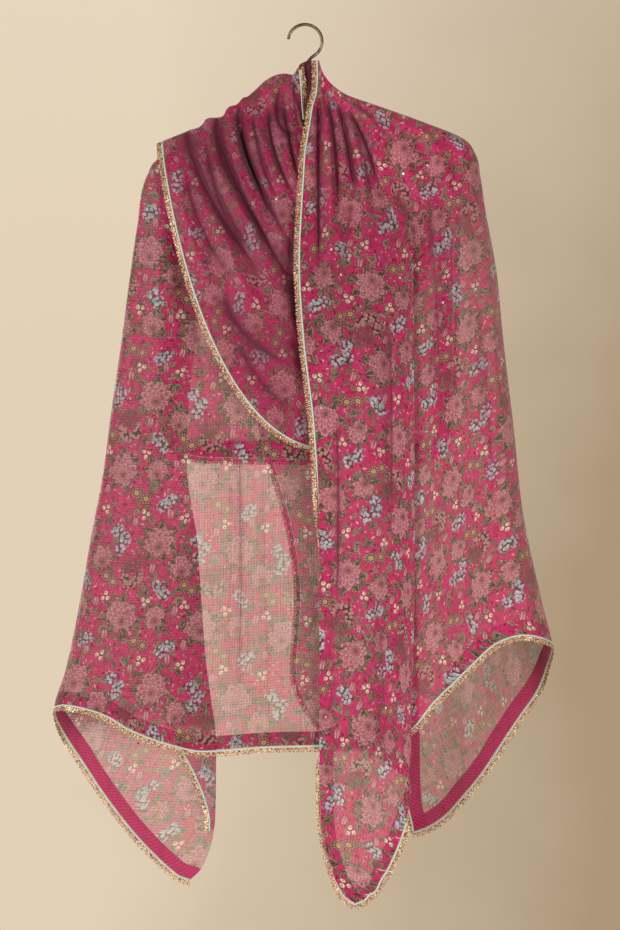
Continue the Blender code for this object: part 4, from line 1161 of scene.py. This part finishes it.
def print_colours(strand, here):
    """The flowered print: leaves, florets, flowers and berries laid over a plain
    ground one after another, each a mask in the millimetres of the repeat."""
    u, v, _ = here.split()
    sheared = here.joined(u, v - u * (REPEAT_STEP / REPEAT[0]))
    fuzz = here.noise(0.09, 3.0, 0.6)
    ink = here.noise(0.17, 2.0, 0.6)
    colour = strand.colour(GROUND).blend(DEEP_AND_FOLD_SHADE, fuzz.rise(0.50, 0.74) * 0.5)
    colour = colour.blend(DUSK, ink.rise(0.58, 0.65) * 0.50)

    # small drops of many colours
    along, across, g, b = scattered(here, 7.4)
    drop = (across * across * 2.6 + along * along * 0.5).root()
    size = g * 1.3 + 0.9
    hue = strand.node("ShaderNodeValToRGB", {"stops": (
        (0.0, DUSK), (0.22, WINE), (0.40, ROSE), (0.55, BLUSH), (0.64, SAGE),
        (0.78, STEEL), (0.88, OLIVE))}, {0: b})
    strand.tree.nodes[-1].color_ramp.interpolation = "CONSTANT"
    colour = colour.blend(DEEP_AND_FOLD_SHADE, (drop - size).rise(1.1, 0.5) * 0.55)
    colour = colour.blend(hue, (drop - size).rise(0.25, -0.25) * 0.85)

    # sprigs: two leaves and a tip on a stem, dark on one side
    for size, shift, share in ((27.0, 0.0, 1.1), (18.0, 40.0, 0.95)):
        there = here.vector("ADD", (shift, shift * 0.7, 0.0))
        stem, side, g, b = scattered(there, size, 0.8)
        side = abs(side)
        scale = share * (13.0 if size > 20 else 10.0)
        along = (stem * 0.78 + side * 0.62) + 0.25 * scale
        off = side * 0.78 - stem * 0.62
        t = (along / scale).rise(0.0, 1.0)
        width = t * (1 - t) * (4 * 0.24 * scale)
        leaf = (width - abs(off)).rise(-0.5, 0.35)
        shade = (off + 0.3).rise(0.6, -0.6)
        tone = strand.colour(OLIVE).blend(SAGE, g * 0.55)
        tone = tone.blend(DUSK, shade * 0.9)
        tone = tone.blend(SAGE, (width + off - 0.9).rise(0.5, 0.0) * 0.55)
        rim = (width - abs(off)).rise(-1.8, -0.4) * t.rise(0.0, 0.12)
        shown = b.rise(0.24, 0.28)
        colour = colour.blend(DUSK, rim * shown * 0.35)
        colour = colour.blend(tone, leaf * shown * t.rise(0.0, 0.1))

    # florets, shared by the blue clusters and the brown bunch
    far, tint, _ = here.cells(5.4, 0.75)
    floret = far.rise(0.52, 0.36)
    heart = far.rise(0.16, 0.05)
    _, g, _ = tint.split()

    # the bunch: long fanned stems over an arc of florets
    x, y, _ = nearest_motif(sheared, BUNCHES)
    reach, angle = polar(y, x)
    stems = abs((angle * 34.0).part() - 0.5).rise(0.20, 0.12)
    spread = abs(angle).rise(0.16, 0.12)
    fan = stems * spread * reach.rise(33.0, 27.0) * reach.rise(3.0, 6.0)
    colour = colour.blend(DUSK, spread * reach.rise(30.0, 20.0) * 0.45)
    colour = colour.blend(OLIVE, fan * 0.95)
    bow = abs(reach - 11.0).rise(7.0, 5.0) * abs(angle).rise(0.12, 0.2)
    bunch = strand.colour(DUSK).blend(TAUPE, floret)
    bunch = bunch.blend(BROWN, heart)
    colour = colour.blend(bunch, bow * 0.95)

    # blue clusters
    x, y, _ = nearest_motif(sheared, CLUSTERS)
    reach = (x * x + y * y).root()
    inside = (reach + fuzz * 9.0).rise(14.5, 12.5)
    blue = strand.colour(STEEL).blend(ICE, g)
    blue = strand.colour(DUSK).blend(blue, floret)
    blue = blue.blend(OLIVE, heart)
    colour = colour.blend(blue, inside * (floret * 0.35 + 0.62))

    # buds: streaked tulips
    x, y, _ = nearest_motif(sheared, BUDS)
    wide = (y + 9.0).rise(0.0, 8.0)
    across = x / (wide * 1.6 + 3.0)
    bud = (1.0 - across * across - (y * y) * (1 / 66.0))
    streak = (x * 1.7 + y * 0.2 + fuzz * 9.0).sine().rise(-0.2, 0.8)
    tone = strand.colour(WINE).blend(ROSE, y.rise(-8.0, 0.0))
    tone = tone.blend(BLUSH, streak * y.rise(-6.0, 4.0) * 0.75)
    tone = tone.blend(WINE, (1.0 - streak) * 0.5)
    colour = colour.blend(DUSK, bud.rise(-0.45, 0.0) * 0.6)
    colour = colour.blend(tone, bud.rise(0.0, 0.16) * 0.92)

    # daisies: a pale heart in a dark ring of petals
    x, y, _ = nearest_motif(sheared, DAISIES)
    reach, angle = polar(x, y)
    petal = abs((angle * 11.0).part() - 0.5)
    edge = reach + petal * 2.4
    tone = strand.colour(BROWN).blend(TAUPE,
                                      petal.rise(0.32, 0.1) * reach.rise(4.2, 5.2))
    tone = tone.blend(OCHRE, reach.rise(3.7, 3.1))
    tone = tone.blend(BROWN, abs(reach - 1.6).rise(0.7, 0.3) * 0.35)
    colour = colour.blend(DUSK, edge.rise(9.6, 8.4) * 0.6)
    colour = colour.blend(tone, edge.rise(8.2, 7.6))

    # dahlias: rings of pointed, streaked petals over dark leaf tips
    x, y, turn = nearest_motif(sheared, DAHLIAS)
    reach, angle = polar(x, y, turn)
    reach = (reach * (abs(turn) - 0.5).rise(0.0, 0.02) * 0.42 + reach) * 0.85
    tip = abs((angle * 7.0 + 0.3 + fuzz * 0.5).part() - 0.5)
    leaves = reach + tip * 20.0
    tone = strand.colour(OLIVE).blend(SAGE,
                                      abs(leaves - 24.6).rise(0.9, 0.2) * 0.8)
    tone = tone.blend(DUSK, tip.rise(0.10, 0.02) * 0.8)
    colour = colour.blend(DUSK, leaves.rise(28.5, 26.0) * 0.55)
    colour = colour.blend(tone, leaves.rise(26.0, 25.2))
    near, round_it = polar(x, y + 7.0, turn)
    ring = near * 0.175
    half = (round_it * 12.0 + ring.whole() * 0.5).part() - 0.5
    bow = abs(half)
    petal = (ring + bow * 1.5 + fuzz * 1.6).part()
    outline = reach + bow * 6.0 + (fuzz - 0.5) * 22.0 + 3.5
    streak = (round_it * 380.0 + fuzz * 14.0).sine().rise(-0.5, 1.0)
    tone = strand.colour(WINE).blend(ROSE, petal.rise(0.0, 0.42) * 0.9)
    tone = tone.blend(BLUSH, petal.rise(0.25, 0.85) * (streak * 0.8 + 0.2) * 0.85)
    tone = tone.blend(WINE, bow.rise(0.34, 0.48) * 0.75)
    tone = tone.blend(WINE, near.rise(7.5, 3.5) * 0.6)
    tone = tone.blend(OLIVE, near.rise(3.4, 2.2))
    colour = colour.blend(DUSK, outline.rise(25.0, 22.4) * 0.5)
    tone = tone.blend(WINE, fuzz.rise(0.52, 0.68) * 0.55)
    colour = colour.blend(tone, outline.rise(22.9, 21.5) * 0.88)

    # berries in threes
    x, y, turn = nearest_motif(sheared, BERRIES)
    reach, angle = polar(x, y, turn)
    third = ((angle * 3.0).part() - 0.5) * THIRD_TURN
    bx = reach * third.cosine() - 4.9
    by = reach * third.sine()
    ball = (bx * bx + by * by).root()
    tone = strand.colour(CREAM).blend(TAUPE, (ball + bx * 0.4).rise(1.6, 3.2))
    tone = tone.blend(BROWN, (ball + by * 0.5).rise(1.1, 0.5))
    colour = colour.blend(DUSK, ball.rise(4.2, 3.3) * 0.6)
    colour = colour.blend(tone, ball.rise(3.4, 2.9))
    return colour


def printed_cloth():
    """Sheer even-weave cloth: alpha from two crossed sets of uneven threads, denser
    where the cloth is gathered, and there its colour is darkened as painted shade."""
    made, strand, shader = finish_of("printed_cloth", Roughness=0.62,
                                     Sheen_Weight=0.2, Sheen_Roughness=0.45,
                                     Specular_IOR_Level=0.28)
    flat = in_millimetres(strand.node("ShaderNodeUVMap", {"uv_map": "print"}))
    wobble = flat.noise(0.035, 1.0, 0.5, output=1)
    here = flat.vector("ADD", wobble.vector("SUBTRACT", (0.5, 0.5, 0.5))
                       .vector("MULTIPLY", (7.0, 7.0, 0.0)))
    colour = print_colours(strand, here)
    gather_and_shade = strand.node("ShaderNodeAttribute", {"attribute_name": "gather_and_shade"}, output=2)
    u, v, _ = flat.split()
    slub_u = flat.noise(1.0, 1.0, 0.6, stretch=(0.50, 0.012, 1.0))
    slub_v = flat.noise(1.0, 1.0, 0.6, stretch=(0.012, 0.50, 1.0))
    warp = (u * (2 * math.pi / WEAVE) + slub_u * 2.0).cosine()
    weft = (v * (2 * math.pi / WEAVE) + slub_v * 2.0).cosine()
    lines = warp.most(weft).rise(0.25, 0.98)
    dense = strand.node("ShaderNodeAttribute", {"attribute_name": "dense"}, output=2)
    alpha = (lines * LINE_ALPHA + GROUND_ALPHA + (slub_u + slub_v - 1.0) * SLUB_ALPHA
             + gather_and_shade * GATHER_ALPHA + dense)
    height = flat.noise(0.10, 1.5, 0.6, stretch=(1.0, 0.35, 1.0)) * 2.2
    bump = height.bump(0.4, 0.0016)
    colour = colour.blend(DEEP_AND_FOLD_SHADE, lines * (0.20 - dense * 0.4))
    # Painted shade: where the cloth is gathered the print is darkened to deep magenta,
    # and to near-black magenta in the cores.
    colour = colour.blend(DEEP_AND_FOLD_SHADE, gather_and_shade * 0.75)
    colour = colour.blend(SHADE, gather_and_shade.rise(0.42, 0.95) * 0.85)
    wire(strand, shader, Base_Color=colour, Alpha=alpha, Normal=bump)
    return made


def facing_cloth():
    """Plain magenta rib, woven on the slant."""
    made, strand, shader = finish_of("facing_cloth", Roughness=0.78, Sheen_Weight=0.2,
                                     Specular_IOR_Level=0.2)
    here = in_millimetres(strand.node("ShaderNodeUVMap", {"uv_map": "print"}))
    u, v, _ = here.split()
    rib = ((u + v) * (2 * math.pi / TWILL)).sine()
    cross = ((u - v) * (2 * math.pi / TWILL)).sine()
    weave = rib * 0.55 + cross * 0.45
    patchy = here.noise(0.06, 2.0)
    colour = strand.colour((0.22, 0.005, 0.042)).blend((0.52, 0.035, 0.135),
                                                     weave.rise(-0.8, 0.9))
    colour = colour.blend((0.22, 0.006, 0.045), patchy.rise(0.5, 0.8) * 0.6)
    bump = weave.bump(0.5, 0.0006)
    alpha = 0.93 + weave * 0.04
    wire(strand, shader, Base_Color=colour, Alpha=alpha, Normal=bump)
    return made


def cord_finish():
    """Pale green satin cord, its twist seen as slanting ribs."""
    made, strand, shader = finish_of("mint_cord", Roughness=0.42, Sheen_Weight=0.15,
                                     Specular_IOR_Level=0.45)
    here = in_millimetres(strand.node("ShaderNodeTexCoord", output="Object"))
    x, y, z = here.split()
    twist = ((x + z * 0.9 + y) * (2 * math.pi / CORD_LAY)).sine()
    tone = here.noise(0.05, 2.0)
    colour = strand.colour((0.33, 0.45, 0.39)).blend((0.56, 0.68, 0.60),
                                                   twist.rise(-0.7, 0.8))
    colour = colour.blend((0.46, 0.50, 0.36), tone.rise(0.5, 0.8) * 0.5)
    bump = twist.bump(0.4, 0.0005)
    wire(strand, shader, Base_Color=colour, Normal=bump)
    return made


def thread_finish():
    """Dull gold twisted thread, mottled at random, with near-black patches of painted
    shade and near-white patches of painted highlight.
    """
    made, strand, shader = finish_of("gold_thread", Metallic=0.25,
                                     Specular_IOR_Level=0.5)
    here = in_millimetres(strand.node("ShaderNodeTexCoord", output="Object"))
    fine = here.noise(0.5, 2.0, 0.65)
    slow = here.noise(0.05, 1.0)
    # The near-black stop is painted shade and the near-white stop a painted highlight,
    # both laid at random by the noise.
    colour = strand.node("ShaderNodeValToRGB", {"stops": (
        (0.36, (0.045, 0.018, 0.012)), (0.46, (0.27, 0.13, 0.065)),
        (0.55, (0.60, 0.38, 0.21)), (0.66, (0.98, 0.78, 0.54)))}, {0: fine})
    colour = colour.blend((0.33, 0.13, 0.11), slow.rise(0.5, 0.75) * 0.4)
    rough = fine.rise(0.2, 0.8) * -0.3 + 0.62
    bump = fine.bump(0.6, 0.0004)
    wire(strand, shader, Base_Color=colour, Roughness=rough, Normal=bump)
    return made


def wood_finish():
    """Brown lacquered wood, its grain drawn along the arms."""
    made, strand, shader = finish_of("hanger_wood", Coat_Weight=0.3,
                                     Coat_Roughness=0.25)
    here = in_millimetres(strand.node("ShaderNodeTexCoord", output="Object"))
    bend = here.noise(0.02, 2.0)
    grain = here.noise(1.0, 4.0, 0.65, stretch=(0.02, 0.35, 0.35))
    lines = ((here.split()[2] * 0.9 + grain * 9.0 + bend * 14.0)).sine()
    colour = strand.colour((0.17, 0.075, 0.030)).blend((0.36, 0.19, 0.085),
                                                     grain.rise(0.3, 0.7))
    colour = colour.blend((0.11, 0.045, 0.02), lines.rise(0.5, 1.0) * 0.5)
    rough = grain * 0.25 + 0.36
    bump = grain.bump(0.25, 0.0005)
    wire(strand, shader, Base_Color=colour, Roughness=rough, Normal=bump)
    return made


def wire_finish():
    """Aged brass wire: brown patina, rubbed brighter in patches."""
    made, strand, shader = finish_of("hook_wire")
    here = in_millimetres(strand.node("ShaderNodeTexCoord", output="Object"))
    wear = here.noise(0.12, 3.0, 0.6)
    pits = here.noise(0.8, 2.0, 0.6)
    colour = strand.colour((0.085, 0.060, 0.038)).blend((0.36, 0.27, 0.15),
                                                      wear.rise(0.42, 0.72))
    metal = wear.rise(0.3, 0.6) * 0.35 + 0.6
    rough = pits * 0.25 + 0.34
    bump = pits.bump(0.2, 0.0003)
    wire(strand, shader, Base_Color=colour, Metallic=metal, Roughness=rough,
         Normal=bump)
    return made


def glass_finish():
    """Small cut glass beads, faintly tinted, bright on each facet."""
    made, strand, shader = finish_of("bead_glass", Roughness=0.08, Metallic=0.55,
                                     Specular_IOR_Level=0.8)
    here = strand.node("ShaderNodeTexCoord", output="Object")
    tint = here.noise(160.0, 1.0)
    colour = strand.colour((0.92, 0.90, 0.86)).blend((0.70, 0.62, 0.60),
                                                   tint.rise(0.4, 0.7))
    wire(strand, shader, Base_Color=colour)
    return made


def floor_finish():
    """Pale matt studio floor, almost even."""
    made, strand, shader = finish_of("pale_floor", Roughness=0.9)
    here = strand.node("ShaderNodeTexCoord", output="Object")
    tone = here.noise(3.0, 3.0)
    colour = strand.colour((0.72, 0.66, 0.57)).blend((0.66, 0.60, 0.51), tone)
    wire(strand, shader, Base_Color=colour)
    return made


PRINTED = printed_cloth()
FACING = facing_cloth()
PIPING = cord_finish()
FRINGE = thread_finish()
WOOD = wood_finish()
WIRE = wire_finish()
GLASS = glass_finish()
FLOOR = floor_finish()


# ------------------------------------------------------------------ the pieces


def levels_about(share, above, below):
    """Shares from 0 to 1, one count of them above a share and another below it."""
    return np.unique(np.concatenate((np.linspace(0, share, above),
                                     np.linspace(share, 1, below))))


def build_cloth():
    """The body of the stole in five stretches and a tuck; returns the grids by name.

    The flat sizes of the three large stretches were fitted to the area that is drawn
    here. They are not measured from a cut.
    """
    tall = levels_about(0.3, 100, 170)
    front_shares = crowded(255, RIGHT_TUCK_SHARE, 0.05, 3.0)
    front = grid_of(right_front, front_shares, tall)
    back = grid_of(right_back, even(80), tall)
    right = np.concatenate((front, back[:, -2::-1]), axis=1)
    rows = levels_about(0.2, 50, 160)
    l_front = grid_of(left_front, even(240), rows)
    l_back = grid_of(left_back, even(90), rows)
    left = np.concatenate((l_front, l_back[:, -2::-1]), axis=1)
    inner = grid_of(left_inner, even(40), even(150))
    roll = grid_of(left_roll, even(24), even(120))
    across = even(170)
    cross = grid_of(cowl, across, even(200))
    halves = np.concatenate((0.5 - 0.5 * across[::-1], 0.5 + 0.5 * across))
    behind = grid_of(yoke, halves, even(130) ** 1.3)
    n = len(across)
    behind[0, :n] = cross[0, ::-1]
    behind[0, n:] = cross[-1]

    def sheet(name, points, corners, prints, nodes, gather_and_shade,
              dense):
        made = make_mesh(name, points, corners, PRINTED, prints, gather_and_shade=gather_and_shade,
                         dense=dense)
        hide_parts(*nodes)

    def front_only(values, columns):
        values[:, columns:] = 0.0
        return values

    def at_corners(grid_values, corners):
        return grid_values.reshape(-1, 2)[corners.reshape(-1)]

    corners = corners_of(*right.shape[:2])
    prints = flat_print(front, 205, (40, 30))
    behind_print = turned(BACK_PRINT_START - back[:, :1, 0] - arc_across(back),
                          back[..., 2], 205, (40, 30))
    prints = np.concatenate((prints, behind_print[:, -2::-1]), axis=1)
    right_low = smooth_step((-right[..., 2] - 380) / 200)
    # The right wrap's front gets painted shade in its creases and near the neck.
    sheet("right_wrap", right, corners, at_corners(prints, corners),
          ("right_front", "right_back"),
          front_only(crease_gather_and_shade(right, RIGHT_CREASES)
                     + RIGHT_NECK_GATHER_AND_SHADE * near_neck(right, 150, 420),
                     front.shape[1]),
          RIGHT_DENSE["even"] + RIGHT_DENSE["neck"] * near_neck(right, 130, 300)
          + front_only(RIGHT_DENSE["low"] * right_low, front.shape[1]))
    # The front thickens to its side and upwards. The back is thicker above its tail
    # and thinner where it lies under the right wrap.
    left_dense = np.zeros(left.shape[:2])
    at_x, at_drop = left[..., 0], -left[..., 2]
    m = l_front.shape[1]
    past = np.maximum(smooth_step((-160 - at_x) / 20),
                      smooth_step((620 - at_drop) / 30))
    left_dense[:, :m] = LEFT_DENSE["past"] * past[:, :m]
    above = smooth_step((1010 - at_drop) / 50)
    under = smooth_step((at_x - 10) / 50)
    left_dense[:, m:] = (LEFT_DENSE["even"] + LEFT_DENSE["above"] * above
                         - LEFT_DENSE["under"] * under)[:, m:]
    corners = corners_of(*left.shape[:2], flip=True)
    prints = flat_print(left, 4, (10, 0), middle=0.3)
    sheet("left_wrap", left, corners, at_corners(prints, corners),
          ("left_front", "left_back"),
          front_only(crease_gather_and_shade(left, LEFT_CREASES), l_front.shape[1]), left_dense)
    corners = corners_of(*inner.shape[:2])
    prints = flat_print(inner, 8, (55, 20))
    sheet("inner_fold", inner, corners, at_corners(prints, corners),
          ("left_inner",),
          np.zeros(inner.shape[:2]), np.full(inner.shape[:2], FOLD_DENSE))
    corners = corners_of(*roll.shape[:2], flip=True)
    prints = flat_print(roll, 4, (0, 50))
    sheet("rolled_edge", roll, corners, at_corners(prints, corners),
          ("left_roll",),
          np.zeros(roll.shape[:2]), np.full(roll.shape[:2], ROLL_DENSE))
    yoke_dense = YOKE_DENSE["even"] + YOKE_DENSE["neck"] * near_neck(behind, 130, 220)
    # The band above the yoke's hem is thicker, and the gather on it darkens it as
    # painted shade.
    yoke_band = smooth_step((-behind[..., 2] - 577) / 6)
    yoke_dense = (yoke_dense + YOKE_DENSE["band"] * yoke_band
                  - YOKE_DENSE["right"] * smooth_step((behind[..., 0] - 10) / 60)
                  * smooth_step((-behind[..., 2] - 180) / 80))
    first = corners_of(*cross.shape[:2], flip=True)
    rows_b, cols_b = behind.shape[:2]
    place = (len(cross.reshape(-1, 3))
             + np.arange(rows_b * cols_b).reshape(rows_b, cols_b))
    grid_at = np.arange(cross.shape[0] * n).reshape(cross.shape[0], n)
    place[0, :n] = grid_at[0, ::-1]
    place[0, n:] = grid_at[-1]
    second = corners_of(rows_b, cols_b, flip=True) + cross.shape[0] * n
    lookup = np.concatenate((np.arange(cross.shape[0] * n), place.reshape(-1)))
    corners = np.concatenate((first, second))
    all_points = np.concatenate((cross.reshape(-1, 3), behind.reshape(-1, 3)))
    used = lookup[corners]
    cowl_print = turned(cross[..., 0] * 1.12, cross[..., 2] * 1.05, -28, (20, 60))
    yoke_print = turned(-behind[..., 0], behind[..., 2], 180, (0, 30))
    prints = np.concatenate((cowl_print.reshape(-1, 2), yoke_print.reshape(-1, 2)))
    # Painted shade over the whole cowl, deeper in its creases.
    cowl_gather_and_shade = COWL_GATHER_AND_SHADE + crease_gather_and_shade(cross, COWL_CREASES)
    cowl_dense = COWL_DENSE["even"] + COWL_DENSE["neck"] * near_neck(cross, 140, 330)
    sheet("cowl_and_yoke", all_points, used, prints[corners.reshape(-1)],
          ("cowl", "back_yoke"),
          np.concatenate((cowl_gather_and_shade.reshape(-1),
                          (YOKE_BAND_GATHER_AND_SHADE * yoke_band).reshape(-1))),
          np.concatenate((cowl_dense.reshape(-1), yoke_dense.reshape(-1))))
    tuck = grid_of(neck_tuck, even(30), even(50))
    corners = corners_of(*tuck.shape[:2])
    prints = turned(tuck[..., 0], tuck[..., 2], 30, (20, 10))
    # The tuck is painted near-black magenta all over, as shade.
    folded = make_mesh("neck_tuck", tuck, corners, PRINTED,
                       at_corners(prints, corners),
                       gather_and_shade=np.full(tuck.shape[:2], TUCK_GATHER_AND_SHADE),
                       dense=np.full(tuck.shape[:2], TUCK_DENSE))
    return {"front": front, "back": back, "l_front": l_front, "l_back": l_back,
            "inner": inner, "roll": roll, "cowl": cross, "yoke": behind,
            "right": right, "left": left, "front_shares": front_shares}


def build_facings(grids):
    """Plain bands on the reverse, of one to three runs that meet square. The length
    that each one states is its own drawn area over the width of the strip."""
    left, behind, cross = (grids[k] for k in ("left", "yoke", "cowl"))
    end, start = np.searchsorted(grids["front_shares"],
                                 (PLEAT_FACING_END, PLEAT_FACING_START))
    plans = {
        "right_front": ((grids["front"], "first", False, 0, None),
                        (grids["front"], "hem", False, 0, end)),
        "right_back": ((grids["right"], "hem", False, start, None),
                       (grids["right"], "last", False, 0, None)),
        "left_hem": ((left, "hem", True, LEFT_STRIP_SKIP, None),),
        "cowl": ((cross, "last", True, COWL_STRIP_SKIP, -COWL_STRIP_SKIP),),
        "yoke": ((behind, "first", True, YOKE_STRIP_SKIP, None),
                 (behind, "hem", True, 0, None),
                 (behind, "last", True, YOKE_STRIP_SKIP, None)),
    }
    for place, runs in plans.items():
        sets = []
        for j, (points, side, flip, first, last) in enumerate(runs):
            band, turn = facing_inside(points, side, flip, first, last,
                                       FACING_OFF + FACING_LAP * j)
            sets.append((band, corners_of(*band.shape[:2], flip=turn)))
        prints = np.concatenate([np.stack((arc_across(b.swapaxes(0, 1)).T,
                                           arc_across(b)), axis=-1).reshape(-1, 2)
                                 for b, _ in sets])
        points, corners, _ = joined(sets)
        made = make_mesh("strip_" + place, points, corners, FACING,
                         prints[corners.reshape(-1)])
        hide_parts("facing_" + place)


def build_trims(grids):
    """Piping and fringe along every free edge that has them; each run starts clear
    of the point where the next one begins."""
    front, right, left = grids["front"], grids["right"], grids["left"]
    behind, cross = grids["yoke"], grids["cowl"]
    inner, roll = grids["inner"], grids["roll"]
    hem = edge_of(right, "hem")
    end, start = np.searchsorted(grids["front_shares"],
                                 (PLEAT_TRIM_END, PLEAT_TRIM_START))
    neck_end = int(np.argmax(-cross[:, 0, 2] > NECK_TRIM_END))
    side = edge_of(front, "first")
    roll_at = {name: column(ROLLED_COLUMNS, ROLLED_EDGE, name, -side.line[:, 2])
               for name in ROLLED_COLUMNS[1:]}
    cord_side, thread_side = (
        side.rolled(np.radians(roll_at[name]), roll_at["under"], roll_at["inward"])
        .then(hem.cut(0, end)) for name in ("cord", "thread"))
    plans = {
        "right_front": [cord_side],
        "right_back": [hem.cut(start, None).then(edge_of(right, "last").back())],
        "left_hem": [edge_of(left, "hem", True)],
        "left_roll": [edge_of(roll, "last", True)],
        "left_inner": [edge_of(inner, "first").then(edge_of(inner, "hem"))],
        "cowl": [edge_of(cross, "last", True).cut(1, -1),
                 edge_of(cross, "first", True).cut(1, neck_end)],
        "yoke": [edge_of(behind, "first", True).cut(1, None)
                 .then(edge_of(behind, "hem", True))
                 .then(edge_of(behind, "last", True).cut(1, None).back())],
    }
    for k, (place, runs) in enumerate(plans.items()):
        trim(place, runs, PIPING, FRINGE, 40 + 10 * k,
             [thread_side] if place == "right_front" else None)


def build_beads(grids):
    """Cut beads sewn on here and there: a hexagon's three rings with a flat crown,
    each on the outermost cloth at its place, square to it."""
    sides = np.arange(6)
    after = np.roll(sides, -1)
    turn = sides * np.pi / 3
    walls = np.stack((sides, after, after + 6, sides + 6), axis=-1)
    walls = np.concatenate((walls, walls + 6))
    fans = np.concatenate((
        np.stack((np.full(6, 18), after, sides), axis=-1),
        np.stack((np.full(6, 19), sides + 12, after + 12), axis=-1)))
    sets = []
    for places, names, side in ((FRONT_BEADS, ("front", "cowl", "l_front"), -1),
                                (BACK_BEADS, ("back", "yoke", "l_back"), 1)):
        points = np.concatenate([grids[name].reshape(-1, 3) for name in names])
        normals = np.concatenate([grid_normals(grids[name]).reshape(-1, 3)
                                  for name in names])
        for x, drop in places:
            away = np.hypot(points[:, 0] - x, -points[:, 2] - drop)
            near = np.flatnonzero(away < away.min() + BEAD_SEARCH)
            at = near[np.argmax(side * points[near, 1])]
            out = normals[at] * (1 if normals[at, 1] * side > 0 else -1)
            a = unit(np.cross(out, (0.0, 0.3, 1.0)))
            b = np.cross(out, a)
            rings = [points[at] + out * (tall + BEAD_OFF) + radius * (
                np.cos(turn)[:, None] * a + np.sin(turn)[:, None] * b)
                for radius, tall in BEAD_RINGS]
            ends = [points[at:at + 1] + out * BEAD_OFF,
                    points[at:at + 1] + out * (BEAD_OFF + BEAD_RINGS[-1][1])]
            sets.append((np.concatenate(rings + ends), walls, fans))
    points, corners, fans = joined(sets)
    beads = outward(make_mesh("beads", points, corners, GLASS, triangles=fans,
                              smooth=False))


GRIDS = build_cloth()
build_facings(GRIDS)
build_trims(GRIDS)
build_beads(GRIDS)

for node, finish in (("hanger", WOOD), ("hook", WIRE)):
    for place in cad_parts[node].material_slots:
        place.material = finish


# ------------------------------------------------------------------ the studio

FLOOR_RADIUS = 1.1
FLOOR_LEVEL = -2.2
FLOOR_SIDES = 64
SENSOR = 36
CAMERA_AWAY = 3.8
CAMERA_X = 0.007
CAMERA_LEVEL = -0.6146
PICTURE_HEIGHT = 1.302


def area_light(name, place, aim, size, power, colour):
    """A rectangular light of size (width, height) in metres, turned to its aim."""
    light = bpy.data.lights.new(name, "AREA")
    light.shape = "RECTANGLE"
    light.size, light.size_y = size
    light.energy = power
    light.color = colour
    made = bpy.data.objects.new(name, light)
    bpy.context.scene.collection.objects.link(made)
    made.location = place
    way = Vector(aim) - Vector(place)
    made.rotation_euler = way.to_track_quat("-Z", "Y").to_euler()


# Each light: name, place, aim, size, power in watts, colour.
for light_row in (
        ("soft_window", (-2.5, -2.4, -0.35), (0.0, 0.0, -0.80), (1.3, 1.8), 106,
         (1.0, 0.97, 0.94)),
        ("fill", (2.5, -2.9, -1.4), (0.12, 0.0, -0.90), (2.0, 2.0), 108,
         (1.0, 0.96, 0.92)),
        ("back_light", (-1.6, 2.6, 0.2), (0.0, 0.0, -0.65), (2.0, 2.0), 70,
         (1.0, 0.95, 0.88))):
    area_light(*light_row)

# The warm wall behind, with painted light: lighter to the left and at the top, darker
# to the right; it lights the cloth less than it shows.
world = bpy.data.worlds.new("warm_wall")
world.use_nodes = True
backing = world.node_tree.nodes["Background"]
strand = Strand(world.node_tree)
way = strand.node("ShaderNodeTexCoord", output="Generated")
x, _, z = way.split()
cloudy = way.noise(9.0, 4.0, 0.55)
# Painted light and shade: the wall darkens to the right.
turn = (x + z * -0.10 + (cloudy - 0.5) * 0.10).rise(-0.07, 0.115)
wall_and_painted_light = strand.colour((0.760, 0.635, 0.470)).blend((0.410, 0.305, 0.195), turn)
# Painted light: the wall lightens towards the top.
wall_and_painted_light = wall_and_painted_light.blend((0.86, 0.75, 0.59), z.rise(0.04, 0.22) * 0.45)
seen = strand.node("ShaderNodeLightPath", output="Is Camera Ray")
wire(strand, backing, Color=strand.colour((0.36, 0.30, 0.24)).blend(wall_and_painted_light, seen))
backing.inputs["Strength"].default_value = 1.0
bpy.context.scene.world = world

floor_mesh = bpy.data.meshes.new("floor")
ring = np.linspace(0, 2 * np.pi, FLOOR_SIDES + 1)[:-1]
floor_mesh.from_pydata([(FLOOR_RADIUS * math.cos(a), FLOOR_RADIUS * math.sin(a),
                         FLOOR_LEVEL) for a in ring], [], [tuple(range(FLOOR_SIDES))])
floor = bpy.data.objects.new("floor", floor_mesh)
bpy.context.scene.collection.objects.link(floor)
floor_mesh.materials.append(FLOOR)

camera = bpy.data.cameras.new("camera")
camera.lens = SENSOR * CAMERA_AWAY / PICTURE_HEIGHT
camera.sensor_width = SENSOR
camera.clip_end = 50
eye = bpy.data.objects.new("camera", camera)
eye.location = (CAMERA_X, -CAMERA_AWAY, CAMERA_LEVEL)
eye.rotation_euler = (math.radians(90), 0, 0)
bpy.context.scene.collection.objects.link(eye)
bpy.context.scene.camera = eye
bpy.context.scene.view_settings.view_transform = "Standard"
bpy.context.scene.view_settings.look = "None"

bpy.context.view_layer.update()
